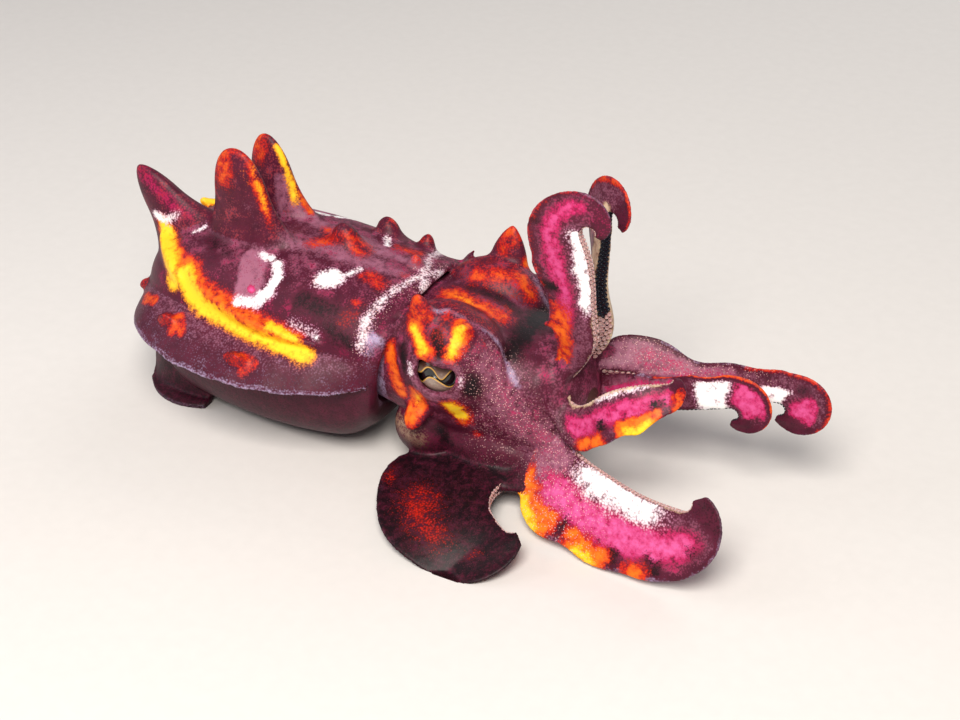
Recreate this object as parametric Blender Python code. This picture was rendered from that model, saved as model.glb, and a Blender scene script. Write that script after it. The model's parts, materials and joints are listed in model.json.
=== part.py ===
"""Flamboyant cuttlefish walking over the sea bed, at life size.

The animal faces +X and its left side is +Y. The floor is Z = 0. All sizes below are
millimetres, and each named part of the animal is one closed object.
"""
import math

import bmesh
import bpy
import numpy as np

MM = 0.001
GAP = 0.3
LEAST_EDGE = 0.06

# Where the body frame's origin lies: under the middle of the whole animal
ORIGIN = np.array((67.8, -2.4, 0.0))

# Mantle
MANTLE_REAR = -2.5
MANTLE_FRONT = 59.5
MANTLE_ROUNDING = 17.0
BACK_SQUARENESS = 2.3
BELLY_SQUARENESS = 3.2
RIM_LEAN = 3.0
# Along the body: half width, height of the widest line, of the back and of the belly
MANTLE_STATIONS = (
    (-2.5, 17.0, 22.0, 37.0, 4.0),
    (8.0, 18.8, 21.5, 38.0, 2.0),
    (20.0, 20.8, 20.5, 38.8, 0.8),
    (34.0, 22.0, 19.5, 38.8, 0.6),
    (47.0, 21.2, 20.0, 37.6, 1.2),
    (55.0, 19.6, 21.0, 36.4, 3.6),
    (59.5, 18.2, 22.0, 35.4, 8.0),
)
MANTLE_AT = np.array(MANTLE_STATIONS)[:, 0]
MANTLE_SIZES = np.array(MANTLE_STATIONS)[:, 1:]
REAR_SINK = 1.0
MANTLE_RINGS = 18
MANTLE_SIDES = 24

# Head, from the neck inside the mantle to the crown of arms
HEAD_REAR = 56.0
HEAD_FRONT = 94.0
HEAD_ROUNDING = 5.0
HEAD_SQUARENESS = 2.4
# Along the body: half width, middle height, top and underside
HEAD_STATIONS = (
    (54.0, 15.0, 22.0, 32.0, 11.2),
    (61.0, 16.0, 22.6, 33.4, 9.6),
    (68.0, 16.2, 22.4, 34.6, 8.0),
    (76.0, 15.0, 21.0, 33.6, 6.6),
    (84.0, 13.2, 19.0, 30.8, 5.8),
    (94.0, 12.4, 17.6, 29.6, 5.6),
)
HEAD_RINGS = 12
HEAD_SIDES = 20
RECESS_CLEARANCE = 0.9

# Eyes
EYE_CENTRE = np.array((71.2, 11.8, 25.6))
EYE_RADIUS = 5.7
EYE_BULGE_CENTRE = np.array((71.0, 9.4, 25.6))
EYE_BULGE_RADII = np.array((12.4, 8.8, 12.0))
EYE_AIM = np.array((0.16, 0.97, 0.16))
EYE_OPENING_LENGTH = 8.6
EYE_OPENING_HEIGHT = 5.4
EYE_OPENING_DROP = 0.4
LID_THICKNESS = 1.0
LID_RISE = {1: 0.86, -1: 0.84}

# Soft cheek beside the funnel, and the long jowl in front of it
CHEEK_CENTRE = np.array((66.6, 11.6, 9.6))
CHEEK_RADII = np.array((6.5, 4.6, 6.6))
JOWL_CENTRE = np.array((80.0, 9.8, 7.6))
JOWL_RADII = np.array((11.0, 4.8, 5.6))

# Crown of arms
CROWN_CENTRE = np.array((90.0, 0.0, 18.2))
CROWN_INNER_RADIUS = 6.2
CROWN_BLADE = 6.4
MOUTH_RADIUS = 3.6
MOUTH_DEPTH = 4.0

# Arms: thickness across the suckers at the root, and how it thins
ARM_THICKNESS = 4.4
ARM_TIP_THICKNESS = 1.1
ARM_SIDE_LEVELS = ((0.0, 0.8), (0.14, 1.0), (0.4, 0.85), (0.74, 0.36), (1.0, 0.12))
KEEL_LEAST = 0.3
ARM_RINGS = 11
ARM_CURL_RINGS = 8
ARM_SPLIT = 0.46
ARM_LENGTH_GUESS = 46.0

# Suckers: two staggered rows, their size as a share of the arm's thickness there
SUCKERS_A_ROW = 9
SUCKER_FIRST = 0.13
SUCKER_LAST = 0.97
SUCKER_SHARE = 0.19
SUCKER_ROW_SHARE = 0.22
SUCKER_SIDES = 6


def smooth_through(at, values):
    """A natural cubic spline through values placed at the numbers in at."""
    at = np.array(at, float)
    values = np.array(values, float)
    count = len(at)
    system = np.eye(count)
    right = np.zeros_like(values)
    for i in range(1, count - 1):
        before = at[i] - at[i - 1]
        after = at[i + 1] - at[i]
        system[i, i - 1:i + 2] = before, 2 * (before + after), after
        right[i] = 6 * ((values[i + 1] - values[i]) / after - (values[i] - values[i - 1]) / before)
    bend = np.linalg.solve(system, right)

    def value(where):
        where = np.clip(np.asarray(where, float), at[0], at[-1])
        i = np.clip(np.searchsorted(at, where, side="right") - 1, 0, count - 2)
        width = at[i + 1] - at[i]
        b = (where - at[i]) / width
        a = 1 - b
        if values.ndim == 2:
            a, b, width = a[..., None], b[..., None], width[..., None]
        curve = ((a ** 3 - a) * bend[i] + (b ** 3 - b) * bend[i + 1]) * width ** 2 / 6
        return a * values[i] + b * values[i + 1] + curve

    return value


def unit(vectors):
    return vectors / np.linalg.norm(vectors, axis=-1, keepdims=True)


def make_object(name, points, faces):
    mesh = bpy.data.meshes.new(name)
    placed = (np.array(points) - ORIGIN) * MM
    mesh.from_pydata([tuple(p) for p in placed], [], faces)
    work = bmesh.new()
    work.from_mesh(mesh)
    bmesh.ops.remove_doubles(work, verts=work.verts, dist=0.004 * MM)
    bmesh.ops.recalc_face_normals(work, faces=work.faces)
    if work.calc_volume(signed=True) < 0:
        bmesh.ops.reverse_faces(work, faces=work.faces)
    work.to_mesh(mesh)
    work.free()
    made = bpy.data.objects.new(name, mesh)
    bpy.context.scene.collection.objects.link(made)
    return made


def loft(name, rings, mirror_split=False):
    """Closed surface over rings of equal count, its two ends closed with a fan.

    With mirror_split the second half of each ring is split into triangles as the first
    half is, so the two faces of a thin vane stay parallel.
    """
    rings = np.array(rings, float)
    count, sides = rings.shape[:2]
    faces = []
    for i in range(count - 1):
        for j in range(sides):
            k = (j + 1) % sides
            a, b = i * sides + j, i * sides + k
            c, d = (i + 1) * sides + k, (i + 1) * sides + j
            if mirror_split and j >= sides // 2:
                faces += [(a, b, d), (b, c, d)]
            else:
                faces += [(a, b, c), (a, c, d)]
    points = list(rings.reshape(-1, 3))
    for ring, start in ((rings[0], 0), (rings[-1], (count - 1) * sides)):
        middle = len(points)
        points.append(ring.mean(axis=0))
        for j in range(sides):
            faces.append((start + j, start + (j + 1) % sides, middle))
    return make_object(name, points, faces)


def apply_modifiers(made):
    graph = bpy.context.evaluated_depsgraph_get()
    mesh = bpy.data.meshes.new_from_object(made.evaluated_get(graph))
    made.modifiers.clear()
    old = made.data
    made.data = mesh
    bpy.data.meshes.remove(old)
    mesh.name = made.name


def clean(made):
    """Close up the very short edges and needle faces that a union or a cut leaves."""
    work = bmesh.new()
    work.from_mesh(made.data)
    bmesh.ops.triangulate(work, faces=work.faces)
    bmesh.ops.dissolve_degenerate(work, edges=work.edges, dist=LEAST_EDGE * MM)
    bmesh.ops.triangulate(work, faces=work.faces)
    whole = all(edge.is_manifold and edge.is_contiguous for edge in work.edges)
    if whole and work.calc_volume(signed=True) > 0:
        work.to_mesh(made.data)
    work.free()


def keep_largest(made):
    """Leave only the largest closed surface of a mesh."""
    work = bmesh.new()
    work.from_mesh(made.data)
    left = set(work.verts)
    groups = []
    while left:
        edge = [left.pop()]
        group = set(edge)
        while edge:
            here = edge.pop()
            for link in here.link_edges:
                other = link.other_vert(here)
                if other in left:
                    left.remove(other)
                    group.add(other)
                    edge.append(other)
        groups.append(group)
    groups.sort(key=len, reverse=True)
    for group in groups[1:]:
        bmesh.ops.delete(work, geom=list(group), context="VERTS")
    work.to_mesh(made.data)
    work.free()


def combine(made, others, operation, solver="MANIFOLD"):
    """Boolean with every object of a list at once, after which the list is gone."""
    group = bpy.data.collections.new(made.name + "_pieces")
    for other in others:
        group.objects.link(other)
    change = made.modifiers.new("combine", "BOOLEAN")
    change.operation = operation
    change.operand_type = "COLLECTION"
    change.collection = group
    change.solver = solver
    apply_modifiers(made)
    for other in list(group.objects):
        bpy.data.objects.remove(other)
    bpy.data.collections.remove(group)
    keep_largest(made)


def ellipse_angles(sides):
    return np.linspace(0, 2 * math.pi, sides, endpoint=False)


def squared(wave, squareness):
    return np.sign(wave) * np.abs(wave) ** (2 / squareness)


def section(angle, sizes, squareness, grow):
    """Y and Z of a cross section at angles from its widest line, on the left, upwards."""
    half_width, middle, top, bottom = sizes
    above = np.sin(angle) >= 0
    square = np.where(above, squareness[0], squareness[1])
    across = squared(np.cos(angle), square) * (half_width + grow)
    height = np.where(above, top - middle + grow, middle - bottom + grow)
    return across, middle + squared(np.sin(angle), square) * height


def mantle_ring(x, angle, grow=0.0):
    """Points of the mantle at one place along it, at angles from its widest line."""
    rear = MANTLE_REAR - grow
    rounded_to = MANTLE_REAR + MANTLE_ROUNDING
    sizes = smooth_through(MANTLE_AT, MANTLE_SIZES)(max(x, MANTLE_REAR))
    left = max(rounded_to - x, 0) / (rounded_to - rear)
    round_off = math.sqrt(max(1 - left ** 2, 0)) ** 0.9
    centre = sizes[1] - REAR_SINK * (1 - round_off)
    across, up = section(angle, sizes, (BACK_SQUARENESS, BELLY_SQUARENESS), grow)
    forward = max((x - rear) / (MANTLE_FRONT - rear) - 0.5, 0) ** 2 * 4
    lean = RIM_LEAN * forward * np.sin(angle)
    return np.stack((x + lean, across * round_off, centre + (up - sizes[1]) * round_off), axis=-1)


def mantle_rings(grow=0.0, rings=MANTLE_RINGS, sides=MANTLE_SIDES):
    rear = MANTLE_REAR - grow
    made = []
    for share in np.linspace(0.04, 1, rings):
        x = rear + (MANTLE_FRONT - rear) * (share ** 1.6 * 0.55 + share * 0.45)
        made.append(mantle_ring(x, ellipse_angles(sides), grow))
    return made


def head_rings(grow=0.0, rings=HEAD_RINGS, sides=HEAD_SIDES):
    stations = np.array(HEAD_STATIONS)
    sizes = smooth_through(stations[:, 0], stations[:, 1:])
    front = HEAD_FRONT + grow
    rear = HEAD_REAR - grow
    made = []
    for share in np.linspace(0, 1, rings):
        x = rear + (front - rear) * math.sin(share * math.pi / 2) ** 1.2
        middle = sizes(x)[1]
        past = max(x - (front - HEAD_ROUNDING), 0) / HEAD_ROUNDING
        round_off = 0.45 + 0.55 * math.sqrt(max(1 - past ** 2, 0))
        across, up = section(ellipse_angles(sides), sizes(x), (HEAD_SQUARENESS, HEAD_SQUARENESS), grow)
        up = middle + (up - middle) * round_off
        made.append(np.stack((np.full(sides, x), across * round_off, up), axis=1))
    return made


def ellipsoid(name, centre, radii, around=14, along=8):
    rings = []
    for angle in np.linspace(0.02, math.pi - 0.02, along + 1):
        turn = ellipse_angles(around)
        ring = np.stack((np.cos(turn), np.full(around, -1 / math.tan(angle)), np.sin(turn)), axis=1)
        ring = ring * math.sin(angle)
        rings.append(np.array(centre) + ring * np.array(radii))
    return loft(name, rings)


def frame_along(path, keel):
    """Tangent, keel and side directions at every point of a path."""
    tangent = unit(np.gradient(path, axis=0))
    keel = unit(keel - np.sum(keel * tangent, axis=1, keepdims=True) * tangent)
    return tangent, keel, np.cross(tangent, keel)


# Each arm: points of its sucker line and of its keel edge after the crown, then the curl
# of its tip as radius, turn in degrees, keel depth at the very tip and swell of the keel
ARM_PLAN = {
    "arm_1_right": (
        ((97.6, -4.6, 31.0), (99.2, -5.8, 40.0), (98.2, -6.0, 51.0), (96.0, -6.0, 57.0)),
        ((89.6, -5.2, 31.0), (90.0, -6.4, 41.0), (87.2, -6.6, 47.6), (85.0, -6.6, 54.4)),
        (1.6, 235.0, 1.2, 0.0),
    ),
    "arm_1_left": (
        ((96.2, 4.0, 29.0), (95.8, 5.0, 37.5), (95.4, 5.8, 46.0), (95.8, 6.4, 55.0)),
        ((92.6, 10.0, 28.5), (90.8, 12.8, 36.0), (89.4, 13.4, 46.0), (89.8, 10.0, 57.0)),
        (1.8, 215.0, 1.6, 1.6),
    ),
    "arm_2_right": (
        ((98.6, -7.6, 21.8), (103.4, -8.6, 26.6), (109.0, -8.2, 30.2), (114.0, -5.6, 30.6)),
        ((98.8, -13.0, 15.1), (106.0, -14.0, 19.8), (112.8, -12.6, 24.0), (118.0, -8.6, 27.2)),
        (1.3, 95.0, 1.2, 0.0),
    ),
    "arm_2_left": (
        ((101.0, 9.6, 20.6), (110.0, 12.6, 19.2), (120.0, 13.2, 19.8), (129.6, 13.4, 20.6)),
        ((99.6, 12.8, 27.4), (110.0, 14.4, 24.4), (120.5, 14.6, 25.4), (129.8, 14.6, 26.8)),
        (1.4, 205.0, 1.4, 5.0),
    ),
    "arm_3_right": (
        ((98.0, -10.6, 14.4), (106.0, -15.0, 14.2), (116.0, -18.4, 14.2), (124.0, -20.0, 15.0)),
        ((91.0, -18.8, 4.4), (98.2, -22.5, 1.6), (110.0, -24.4, 0.6), (120.2, -24.2, 2.0)),
        (2.0, 120.0, 3.0, 0.0),
    ),
    "arm_3_left": (
        ((98.6, 5.8, 14.4), (106.0, 6.8, 15.6), (114.6, 7.4, 18.0), (122.0, 7.8, 20.4)),
        ((99.4, 10.8, 17.4), (107.6, 8.8, 22.6), (116.0, 8.4, 25.2), (123.4, 8.8, 27.6)),
        (1.4, 215.0, 1.4, 2.6),
    ),
    "arm_4_right": (
        ((92.0, -8.0, 6.4), (89.8, -11.6, 6.0), (86.8, -15.4, 5.4), (86.0, -20.2, 5.2), (87.8, -25.0, 5.2),
         (92.5, -28.6, 5.0)),
        ((84.0, -11.0, 3.2), (74.0, -15.4, 4.0), (65.0, -20.0, 5.0), (63.8, -27.6, 4.8), (69.8, -34.6, 2.8),
         (78.6, -36.8, -1.2)),
        (2.6, 75.0, 3.0, 0.0),
    ),
    "arm_4_left": (
        ((92.5, 7.6, 6.6), (90.0, 11.0, 6.2), (87.2, 14.6, 5.6), (85.8, 18.8, 5.4), (86.8, 22.8, 5.2),
         (91.0, 25.5, 5.0)),
        ((84.6, 11.0, 3.4), (75.6, 15.0, 4.4), (67.4, 18.6, 5.2), (66.4, 24.8, 4.8), (72.4, 31.2, 2.8),
         (81.0, 33.4, -1.5)),
        (3.0, 70.0, 3.0, 0.0),
    ),
}
CROWN_ANGLES = {"1": 23.0, "2": 68.0, "3": 113.0, "4": 157.0}


def arm_lines(name):
    """Sucker line, keel vectors and share of the length for one arm, crown to tip."""
    oral, keel, (curl_radius, curl_turn, tip_depth, swell) = ARM_PLAN[name]
    side = 1 if name.endswith("left") else -1
    angle = math.radians(CROWN_ANGLES[name[4]])
    outward = np.array((0.0, side * math.sin(angle), math.cos(angle)))
    root = CROWN_CENTRE + CROWN_INNER_RADIUS * outward
    start = [root - (2.0, 0, 0), root + (2.2, 0, 0)]
    oral = np.array(start + list(oral))
    keel = np.array([p + CROWN_BLADE * outward for p in start] + list(keel))
    at = np.concatenate(([0], np.cumsum(np.linalg.norm(np.diff((oral + keel) / 2, axis=0), axis=1))))
    both = smooth_through(at, np.hstack((oral, keel)))
    where = np.linspace(0, at[-1], ARM_RINGS * 3)
    lines = both(where)
    path, blade = lines[:, :3], lines[:, 3:] - lines[:, :3]
    tangent, across, _ = frame_along(path, blade)
    depth = np.sum(blade * across, axis=1)
    # The tip turns towards the suckers, round an ever tighter curve
    steps = ARM_CURL_RINGS * 3
    turn = math.radians(curl_turn)
    radius = np.linspace(curl_radius * 1.25, curl_radius * 0.6, steps)
    bend = np.cumsum(np.full(steps, turn / steps))
    heading = tangent[-1] * np.cos(bend)[:, None] - across[-1] * np.sin(bend)[:, None]
    keel_turned = across[-1] * np.cos(bend)[:, None] + tangent[-1] * np.sin(bend)[:, None]
    curl = path[-1] + np.cumsum(heading * (radius * turn / steps)[:, None], axis=0)
    fade = np.linspace(0, 1, steps + 1)[1:]
    curl_depth = depth[-1] * (1 - fade) ** 1.1 + tip_depth * fade + swell * np.sin(math.pi * fade ** 0.7) ** 3
    path = np.vstack((path, curl))
    across = np.vstack((across, keel_turned))
    depth = np.concatenate((depth, curl_depth))
    middle = path + across * (depth * 0.5)[:, None]
    travel = np.concatenate(([0], np.cumsum(np.linalg.norm(np.diff(middle, axis=0), axis=1))))
    _, across, sideways = frame_along(path, across)
    return path, across, sideways, depth, travel / travel[-1]


def arm_thickness(share):
    return ARM_TIP_THICKNESS + (ARM_THICKNESS - ARM_TIP_THICKNESS) * (1 - share) ** 0.75


def arm_ring(point, across, sideways, depth, thickness):
    """One cross section of a blade: flat under the suckers, thinning to its keel."""
    ring = []
    for direction, levels in ((1, ARM_SIDE_LEVELS), (-1, ARM_SIDE_LEVELS[::-1])):
        for level, width in levels:
            half = max(width * thickness / 2, KEEL_LEAST)
            ring.append(point + across * (depth * level) + sideways * (direction * half))
    return ring


def arm_rings(name, first, last, count):
    """Rings of one length of an arm, between two shares of its whole length."""
    path, across, sideways, depth, share = arm_lines(name)
    wanted = np.linspace(first, last, count)
    rings = []
    for here in wanted:
        point, keel, aside = (
            np.array([np.interp(here, share, line[:, i]) for i in range(3)])
            for line in (path, across, sideways)
        )
        size = np.interp(here, share, depth)
        rings.append(arm_ring(point, keel, aside, size, arm_thickness(here)))
    return np.array(rings)


def sucker(centre, out, along, radius):
    """A short cup on the sucker face, its root sunk into the arm."""
    across = np.cross(out, along)
    angle = ellipse_angles(SUCKER_SIDES)
    circle = np.outer(np.cos(angle), along) + np.outer(np.sin(angle), across)
    points = [centre - out * radius * 0.7 + circle * radius * 0.7, centre + out * radius * 0.75 + circle * radius]
    points = np.vstack(points + [[centre + out * radius * 0.25], [centre - out * radius * 0.7]])
    faces = []
    for i in range(SUCKER_SIDES):
        j = (i + 1) % SUCKER_SIDES
        faces.append((i, j, SUCKER_SIDES + j, SUCKER_SIDES + i))
        faces.append((SUCKER_SIDES + i, SUCKER_SIDES + j, 2 * SUCKER_SIDES))
        faces.append((j, i, 2 * SUCKER_SIDES + 1))
    return make_object("sucker", points, faces)


def arm_suckers(name, first, last):
    """The suckers whose places fall between two shares of an arm's length."""
    path, across, sideways, _, share = arm_lines(name)
    made = []
    count = 2 * SUCKERS_A_ROW
    for i in range(count):
        here = SUCKER_FIRST + (SUCKER_LAST - SUCKER_FIRST) * i / (count - 1)
        thickness = arm_thickness(here)
        radius = thickness * SUCKER_SHARE
        margin = 1.3 * radius / ARM_LENGTH_GUESS
        if not first + margin < here < last - margin:
            continue
        point, keel, aside = (
            np.array([np.interp(here, share, line[:, k]) for k in range(3)])
            for line in (path, across, sideways)
        )
        row = 1 if i % 2 else -1
        centre = point + aside * (row * thickness * SUCKER_ROW_SHARE)
        made.append(sucker(centre, -keel, np.cross(keel, aside), radius))
    return made


def rest_on_floor(rings):
    rings = np.array(rings, float)
    rings[..., 2] = np.maximum(rings[..., 2], 0)
    return rings


def cut_grown(made, rings):
    """Cut a part by a neighbour grown by the gap, so the two meet face to face."""
    cutter = loft("cutter", rings)
    combine(made, [cutter], "DIFFERENCE")


def cut_by_lobes(made):
    """Cut a part by the cheeks and jowls of the head, grown by the gap."""
    cutters = []
    for side in (1, -1):
        cutters.append(ellipsoid("cutter", CHEEK_CENTRE * (1, side, 1), CHEEK_RADII + GAP, 12, 7))
        cutters.append(ellipsoid("cutter", JOWL_CENTRE * (1, side, 1), JOWL_RADII + GAP, 14, 8))
    combine(made, cutters, "DIFFERENCE")


def make_mantle():
    mantle = loft("mantle", mantle_rings())
    raised = [papilla(*plan, MANTLE_FLARE) for plan in MANTLE_PAPILLAE]
    raised += [ridge(places, side) for places in RIDGES for side in (1, -1)]
    combine(mantle, raised, "UNION")
    recess = head_rings(grow=RECESS_CLEARANCE)
    recess[0][:, 0] = HEAD_REAR - GAP
    cutters = [loft("cutter", recess)]
    for side in (1, -1):
        flip = np.array((1, side, 1))
        cutters.append(ellipsoid("cutter", EYE_BULGE_CENTRE * flip, EYE_BULGE_RADII + 2 * GAP))
    combine(mantle, cutters, "DIFFERENCE")
    return mantle


# Papillae of the mantle: foot, tip, length and thickness of the foot, roundness of the tip
MANTLE_PAPILLAE = (
    ((8.0, -3.0, 31.0), (-4.0, -4.5, 47.0), 11.5, 6.0, 0.5),
    ((23.5, -5.0, 34.0), (21.0, -5.8, 57.0), 13.0, 4.6, 0.95),
    ((23.5, 6.0, 34.0), (20.0, 6.4, 54.8), 10.5, 4.4, 0.8),
    ((42.0, 1.0, 36.5), (41.0, 1.0, 43.0), 5.0, 4.0, 0.2),
    ((46.0, 10.5, 33.5), (45.0, 11.5, 40.0), 4.5, 4.0, 0.2),
    ((57.0, 2.0, 33.0), (57.5, 2.0, 39.5), 4.0, 3.6, 0.2),
    ((53.0, 12.0, 31.0), (53.6, 13.6, 37.2), 4.0, 3.6, 0.2),
)


# Raised folds above each fin: their thickness, then points along the middle of each
RIDGE_RADIUS = 1.5
RIDGES = (
    ((2.8, 6.2, 35.6), (5.0, 9.4, 33.4), (11.0, 15.0, 32.4), (15.4, 17.4, 29.8)),
    ((14.2, 15.2, 33.6), (18.0, 16.9, 31.6), (24.0, 18.7, 30.0), (31.0, 20.3, 29.0), (38.5, 20.9, 28.2),
     (48.0, 20.2, 27.6)),
)


def ridge(places, side, sides=6, count=10):
    """A rounded fold lying on the mantle above the fin, thinner at its ends."""
    share = np.linspace(0, 1, count)
    path = smooth_through(np.linspace(0, 1, len(places)), places)(share)
    run = unit(np.gradient(path, axis=0))
    over = unit(np.cross(run, (0.0, 0.4, 1.0)))
    up = np.cross(over, run)
    swell = RIDGE_RADIUS * (0.3 + 0.7 * np.sin(math.pi * (0.04 + 0.92 * share)) ** 0.5)
    rings = []
    for i in range(count):
        turn = ellipse_angles(sides)
        ring = path[i] + np.outer(np.cos(turn) * swell[i], over[i]) + np.outer(np.sin(turn) * swell[i], up[i])
        rings.append(ring * (1, side, 1))
    return loft("ridge", rings)


# How much wider a papilla's foot is than its stem, and the share of its height that widens
MANTLE_FLARE = 1.1
HEAD_FLARE = 0.35
FLARE_REACH = 0.6


def papilla(foot, tip, length, thickness, roundness, flare, sides=10, rings=5):
    """A flattened cone standing on the skin, its foot sunk below the surface."""
    foot, tip = np.array(foot), np.array(tip)
    axis = unit(tip - foot)
    along = unit(np.array((1.0, 0, 0)) - axis[0] * axis)
    across = np.cross(axis, along)
    made = []
    for step in np.linspace(0, 1, rings):
        share = math.sin(step * math.pi / 2) ** (1 / (1 + roundness))
        taper = (1 - share ** (1.2 + 2.6 * roundness)) ** (0.9 - 0.4 * roundness) + 0.07
        spread = 1 + flare * max(1 - share / FLARE_REACH, 0) ** 2
        angle = ellipse_angles(sides)
        ring = foot + (tip - foot) * share
        ring = ring + np.outer(np.cos(angle) * length / 2 * taper * spread, along)
        ring = ring + np.outer(np.sin(angle) * thickness / 2 * taper * spread, across)
        made.append(ring)
    return loft("papilla", made)


def make_head():
    head = loft("head", head_rings())
    pieces = []
    for side in (1, -1):
        flip = np.array((1, side, 1))
        pieces.append(ellipsoid("bulge", EYE_BULGE_CENTRE * flip, EYE_BULGE_RADII))
        pieces.append(ellipsoid("cheek", CHEEK_CENTRE * flip, CHEEK_RADII, 12, 7))
        pieces.append(ellipsoid("jowl", JOWL_CENTRE * flip, JOWL_RADII, 14, 8))
        pieces += [lid(flip, 1), lid(flip, -1)]
    pieces += [papilla(*plan, HEAD_FLARE) for plan in HEAD_PAPILLAE]
    combine(head, pieces, "UNION")
    cutters = []
    for side in (1, -1):
        flip = np.array((1, side, 1))
        cutters.append(ellipsoid("socket", EYE_CENTRE * flip, np.full(3, EYE_RADIUS + GAP), 16, 9))
        cutters.append(eye_opening(flip))
    cutters.append(ellipsoid("mouth_hollow", (HEAD_FRONT + 0.6, 0, CROWN_CENTRE[2]),
                             (MOUTH_DEPTH + GAP, MOUTH_RADIUS + 1.2, MOUTH_RADIUS + 1.2)))
    combine(head, cutters, "DIFFERENCE")
    return head


HEAD_PAPILLAE = (
    ((72.0, 11.8, 32.0), (72.6, 13.6, 43.8), 9.0, 4.4, 0.3),
    ((78.5, 11.6, 29.0), (79.5, 12.6, 35.5), 6.0, 3.8, 0.4),
    ((69.5, 12.5, 20.5), (69.5, 19.0, 15.0), 6.0, 3.6, 0.6),
    ((67.6, -11.8, 32.0), (66.4, -13.6, 40.8), 7.5, 4.2, 0.35),
    ((75.5, -12.0, 30.0), (76.0, -13.6, 37.2), 6.0, 3.8, 0.4),
    ((68.0, -12.5, 19.5), (67.0, -19.0, 13.4), 6.0, 3.6, 0.6),
)


def eye_opening(flip, sides=12):
    """The almond gap between the lids, cut outward from the eye."""
    aim = unit(EYE_AIM) * flip
    along = unit(np.array((1.0, 0, 0)) - aim[0] * aim)
    up = np.cross(along, aim) * flip[1]
    centre = EYE_CENTRE * flip - up * EYE_OPENING_DROP
    rings = []
    for reach, spread in ((2.5, 0.9), (6.0, 1.0), (11.0, 1.35)):
        ring = []
        for angle in ellipse_angles(sides):
            corner = np.sign(np.cos(angle)) * abs(np.cos(angle)) ** 0.9
            ring.append(centre + aim * reach + along * (corner * EYE_OPENING_LENGTH / 2 * spread)
                        + up * (math.sin(angle) * EYE_OPENING_HEIGHT / 2 * spread))
        rings.append(ring)
    return loft("opening", rings)


def on_bulge(flip, direction):
    """Where a line from the eye's centre leaves the swelling round the eye."""
    scaled = unit(direction) / EYE_BULGE_RADII
    start = (EYE_CENTRE - EYE_BULGE_CENTRE) * flip / EYE_BULGE_RADII
    a, b, c = scaled @ scaled, 2 * scaled @ start, start @ start - 1
    reach = (-b + math.sqrt(b * b - 4 * a * c)) / (2 * a)
    return EYE_CENTRE * flip + unit(direction) * reach


def lid(flip, way, sides=6, count=9):
    """A fold of skin along the upper or lower edge of the eye's opening."""
    aim = unit(EYE_AIM) * flip
    along = unit(np.array((1.0, 0, 0)) - aim[0] * aim)
    up = np.cross(along, aim) * flip[1]
    rings = []
    for angle in np.linspace(0.06 * math.pi, 0.94 * math.pi, count):
        aside = along * (math.cos(angle) * EYE_OPENING_LENGTH * 0.62)
        rise = up * (way * math.sin(angle) * EYE_OPENING_HEIGHT * LID_RISE[way])
        centre = on_bulge(flip, aim * EYE_RADIUS * 1.25 + aside + rise - up * EYE_OPENING_DROP)
        run = unit(-along * math.sin(angle) + up * (way * math.cos(angle) * 0.6))
        thick = LID_THICKNESS * (0.35 + 0.65 * math.sin(angle)) * (1.15 if way > 0 else 0.85)
        turn = ellipse_angles(sides)
        out = np.cross(run, aim)
        ring = centre - aim * 0.25 + np.outer(np.cos(turn) * thick, out)
        rings.append(ring + np.outer(np.sin(turn) * thick, aim))
    return loft("lid", rings)


def make_eye(side):
    flip = np.array((1, side, 1))
    name = "eye_left" if side > 0 else "eye_right"
    return ellipsoid(name, EYE_CENTRE * flip, np.full(3, EYE_RADIUS), 16, 9)


def make_mouth():
    centre = (HEAD_FRONT + 0.6 - 0.2, 0, CROWN_CENTRE[2])
    return ellipsoid("mouth", centre, (MOUTH_DEPTH - 0.2, MOUTH_RADIUS, MOUTH_RADIUS))


FUNNEL_PATH = ((62.0, 0.0, 8.6), (70.0, 0.0, 6.2), (79.0, 0.0, 5.4))
FUNNEL_RADII = (5.2, 4.4, 3.2)
FUNNEL_WALL = 0.9


def funnel_rings(shrink=0.0, stretch=0.0, sides=16, count=6):
    path = smooth_through((0, 0.5, 1), FUNNEL_PATH)
    radius = smooth_through((0, 0.5, 1), FUNNEL_RADII)
    rings = []
    for share in np.linspace(0, 1, count):
        centre = path(share)
        angle = ellipse_angles(sides)
        size = float(radius(share)) - shrink
        x = centre[0] + (stretch if share == 1 else 0)
        ring = np.stack((np.full(sides, x), size * 1.25 * np.cos(angle), centre[2] + size * np.sin(angle)), axis=1)
        rings.append(ring)
    return rings


def make_funnel():
    funnel = loft("funnel", funnel_rings())
    inner = funnel_rings(shrink=FUNNEL_WALL, stretch=2.0)
    inner[0][:, 0] += 4.0
    combine(funnel, [loft("cutter", inner)], "DIFFERENCE")
    cut_grown(funnel, head_rings(grow=GAP))
    cut_by_lobes(funnel)
    cut_grown(funnel, mantle_rings(grow=GAP))
    return funnel


# Fins: shares of the mantle's length where each third starts and ends
FIN_ANGLE = 16.0
FIN_START = -1.0
FIN_END = 57.5
FIN_REACH = 9.4
FIN_REAR_SHARE = 0.7
FIN_DROOP = 6.2
FIN_ROOT_THICKNESS = 1.8
FIN_EDGE_THICKNESS = 0.6
FIN_SUNK = 1.6
FIN_PAPILLA_THICKNESS = 2.6
# Papillae of each fin: place along the body, share of the fin's width, height and length
FIN_PAPILLAE = ((0.5, 0.55, 3.4, 4.6), (15.0, 0.5, 3.2, 5.0), (33.0, 0.62, 3.2, 5.4))
FIN_PARTS = (("rear", 0.0, 0.34), ("mid", 0.34, 0.68), ("front", 0.68, 1.0))


def fin_root(x):
    """The point of the mantle's side that a fin grows from, on the left."""
    return mantle_ring(x, np.array(math.radians(FIN_ANGLE)))


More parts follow.
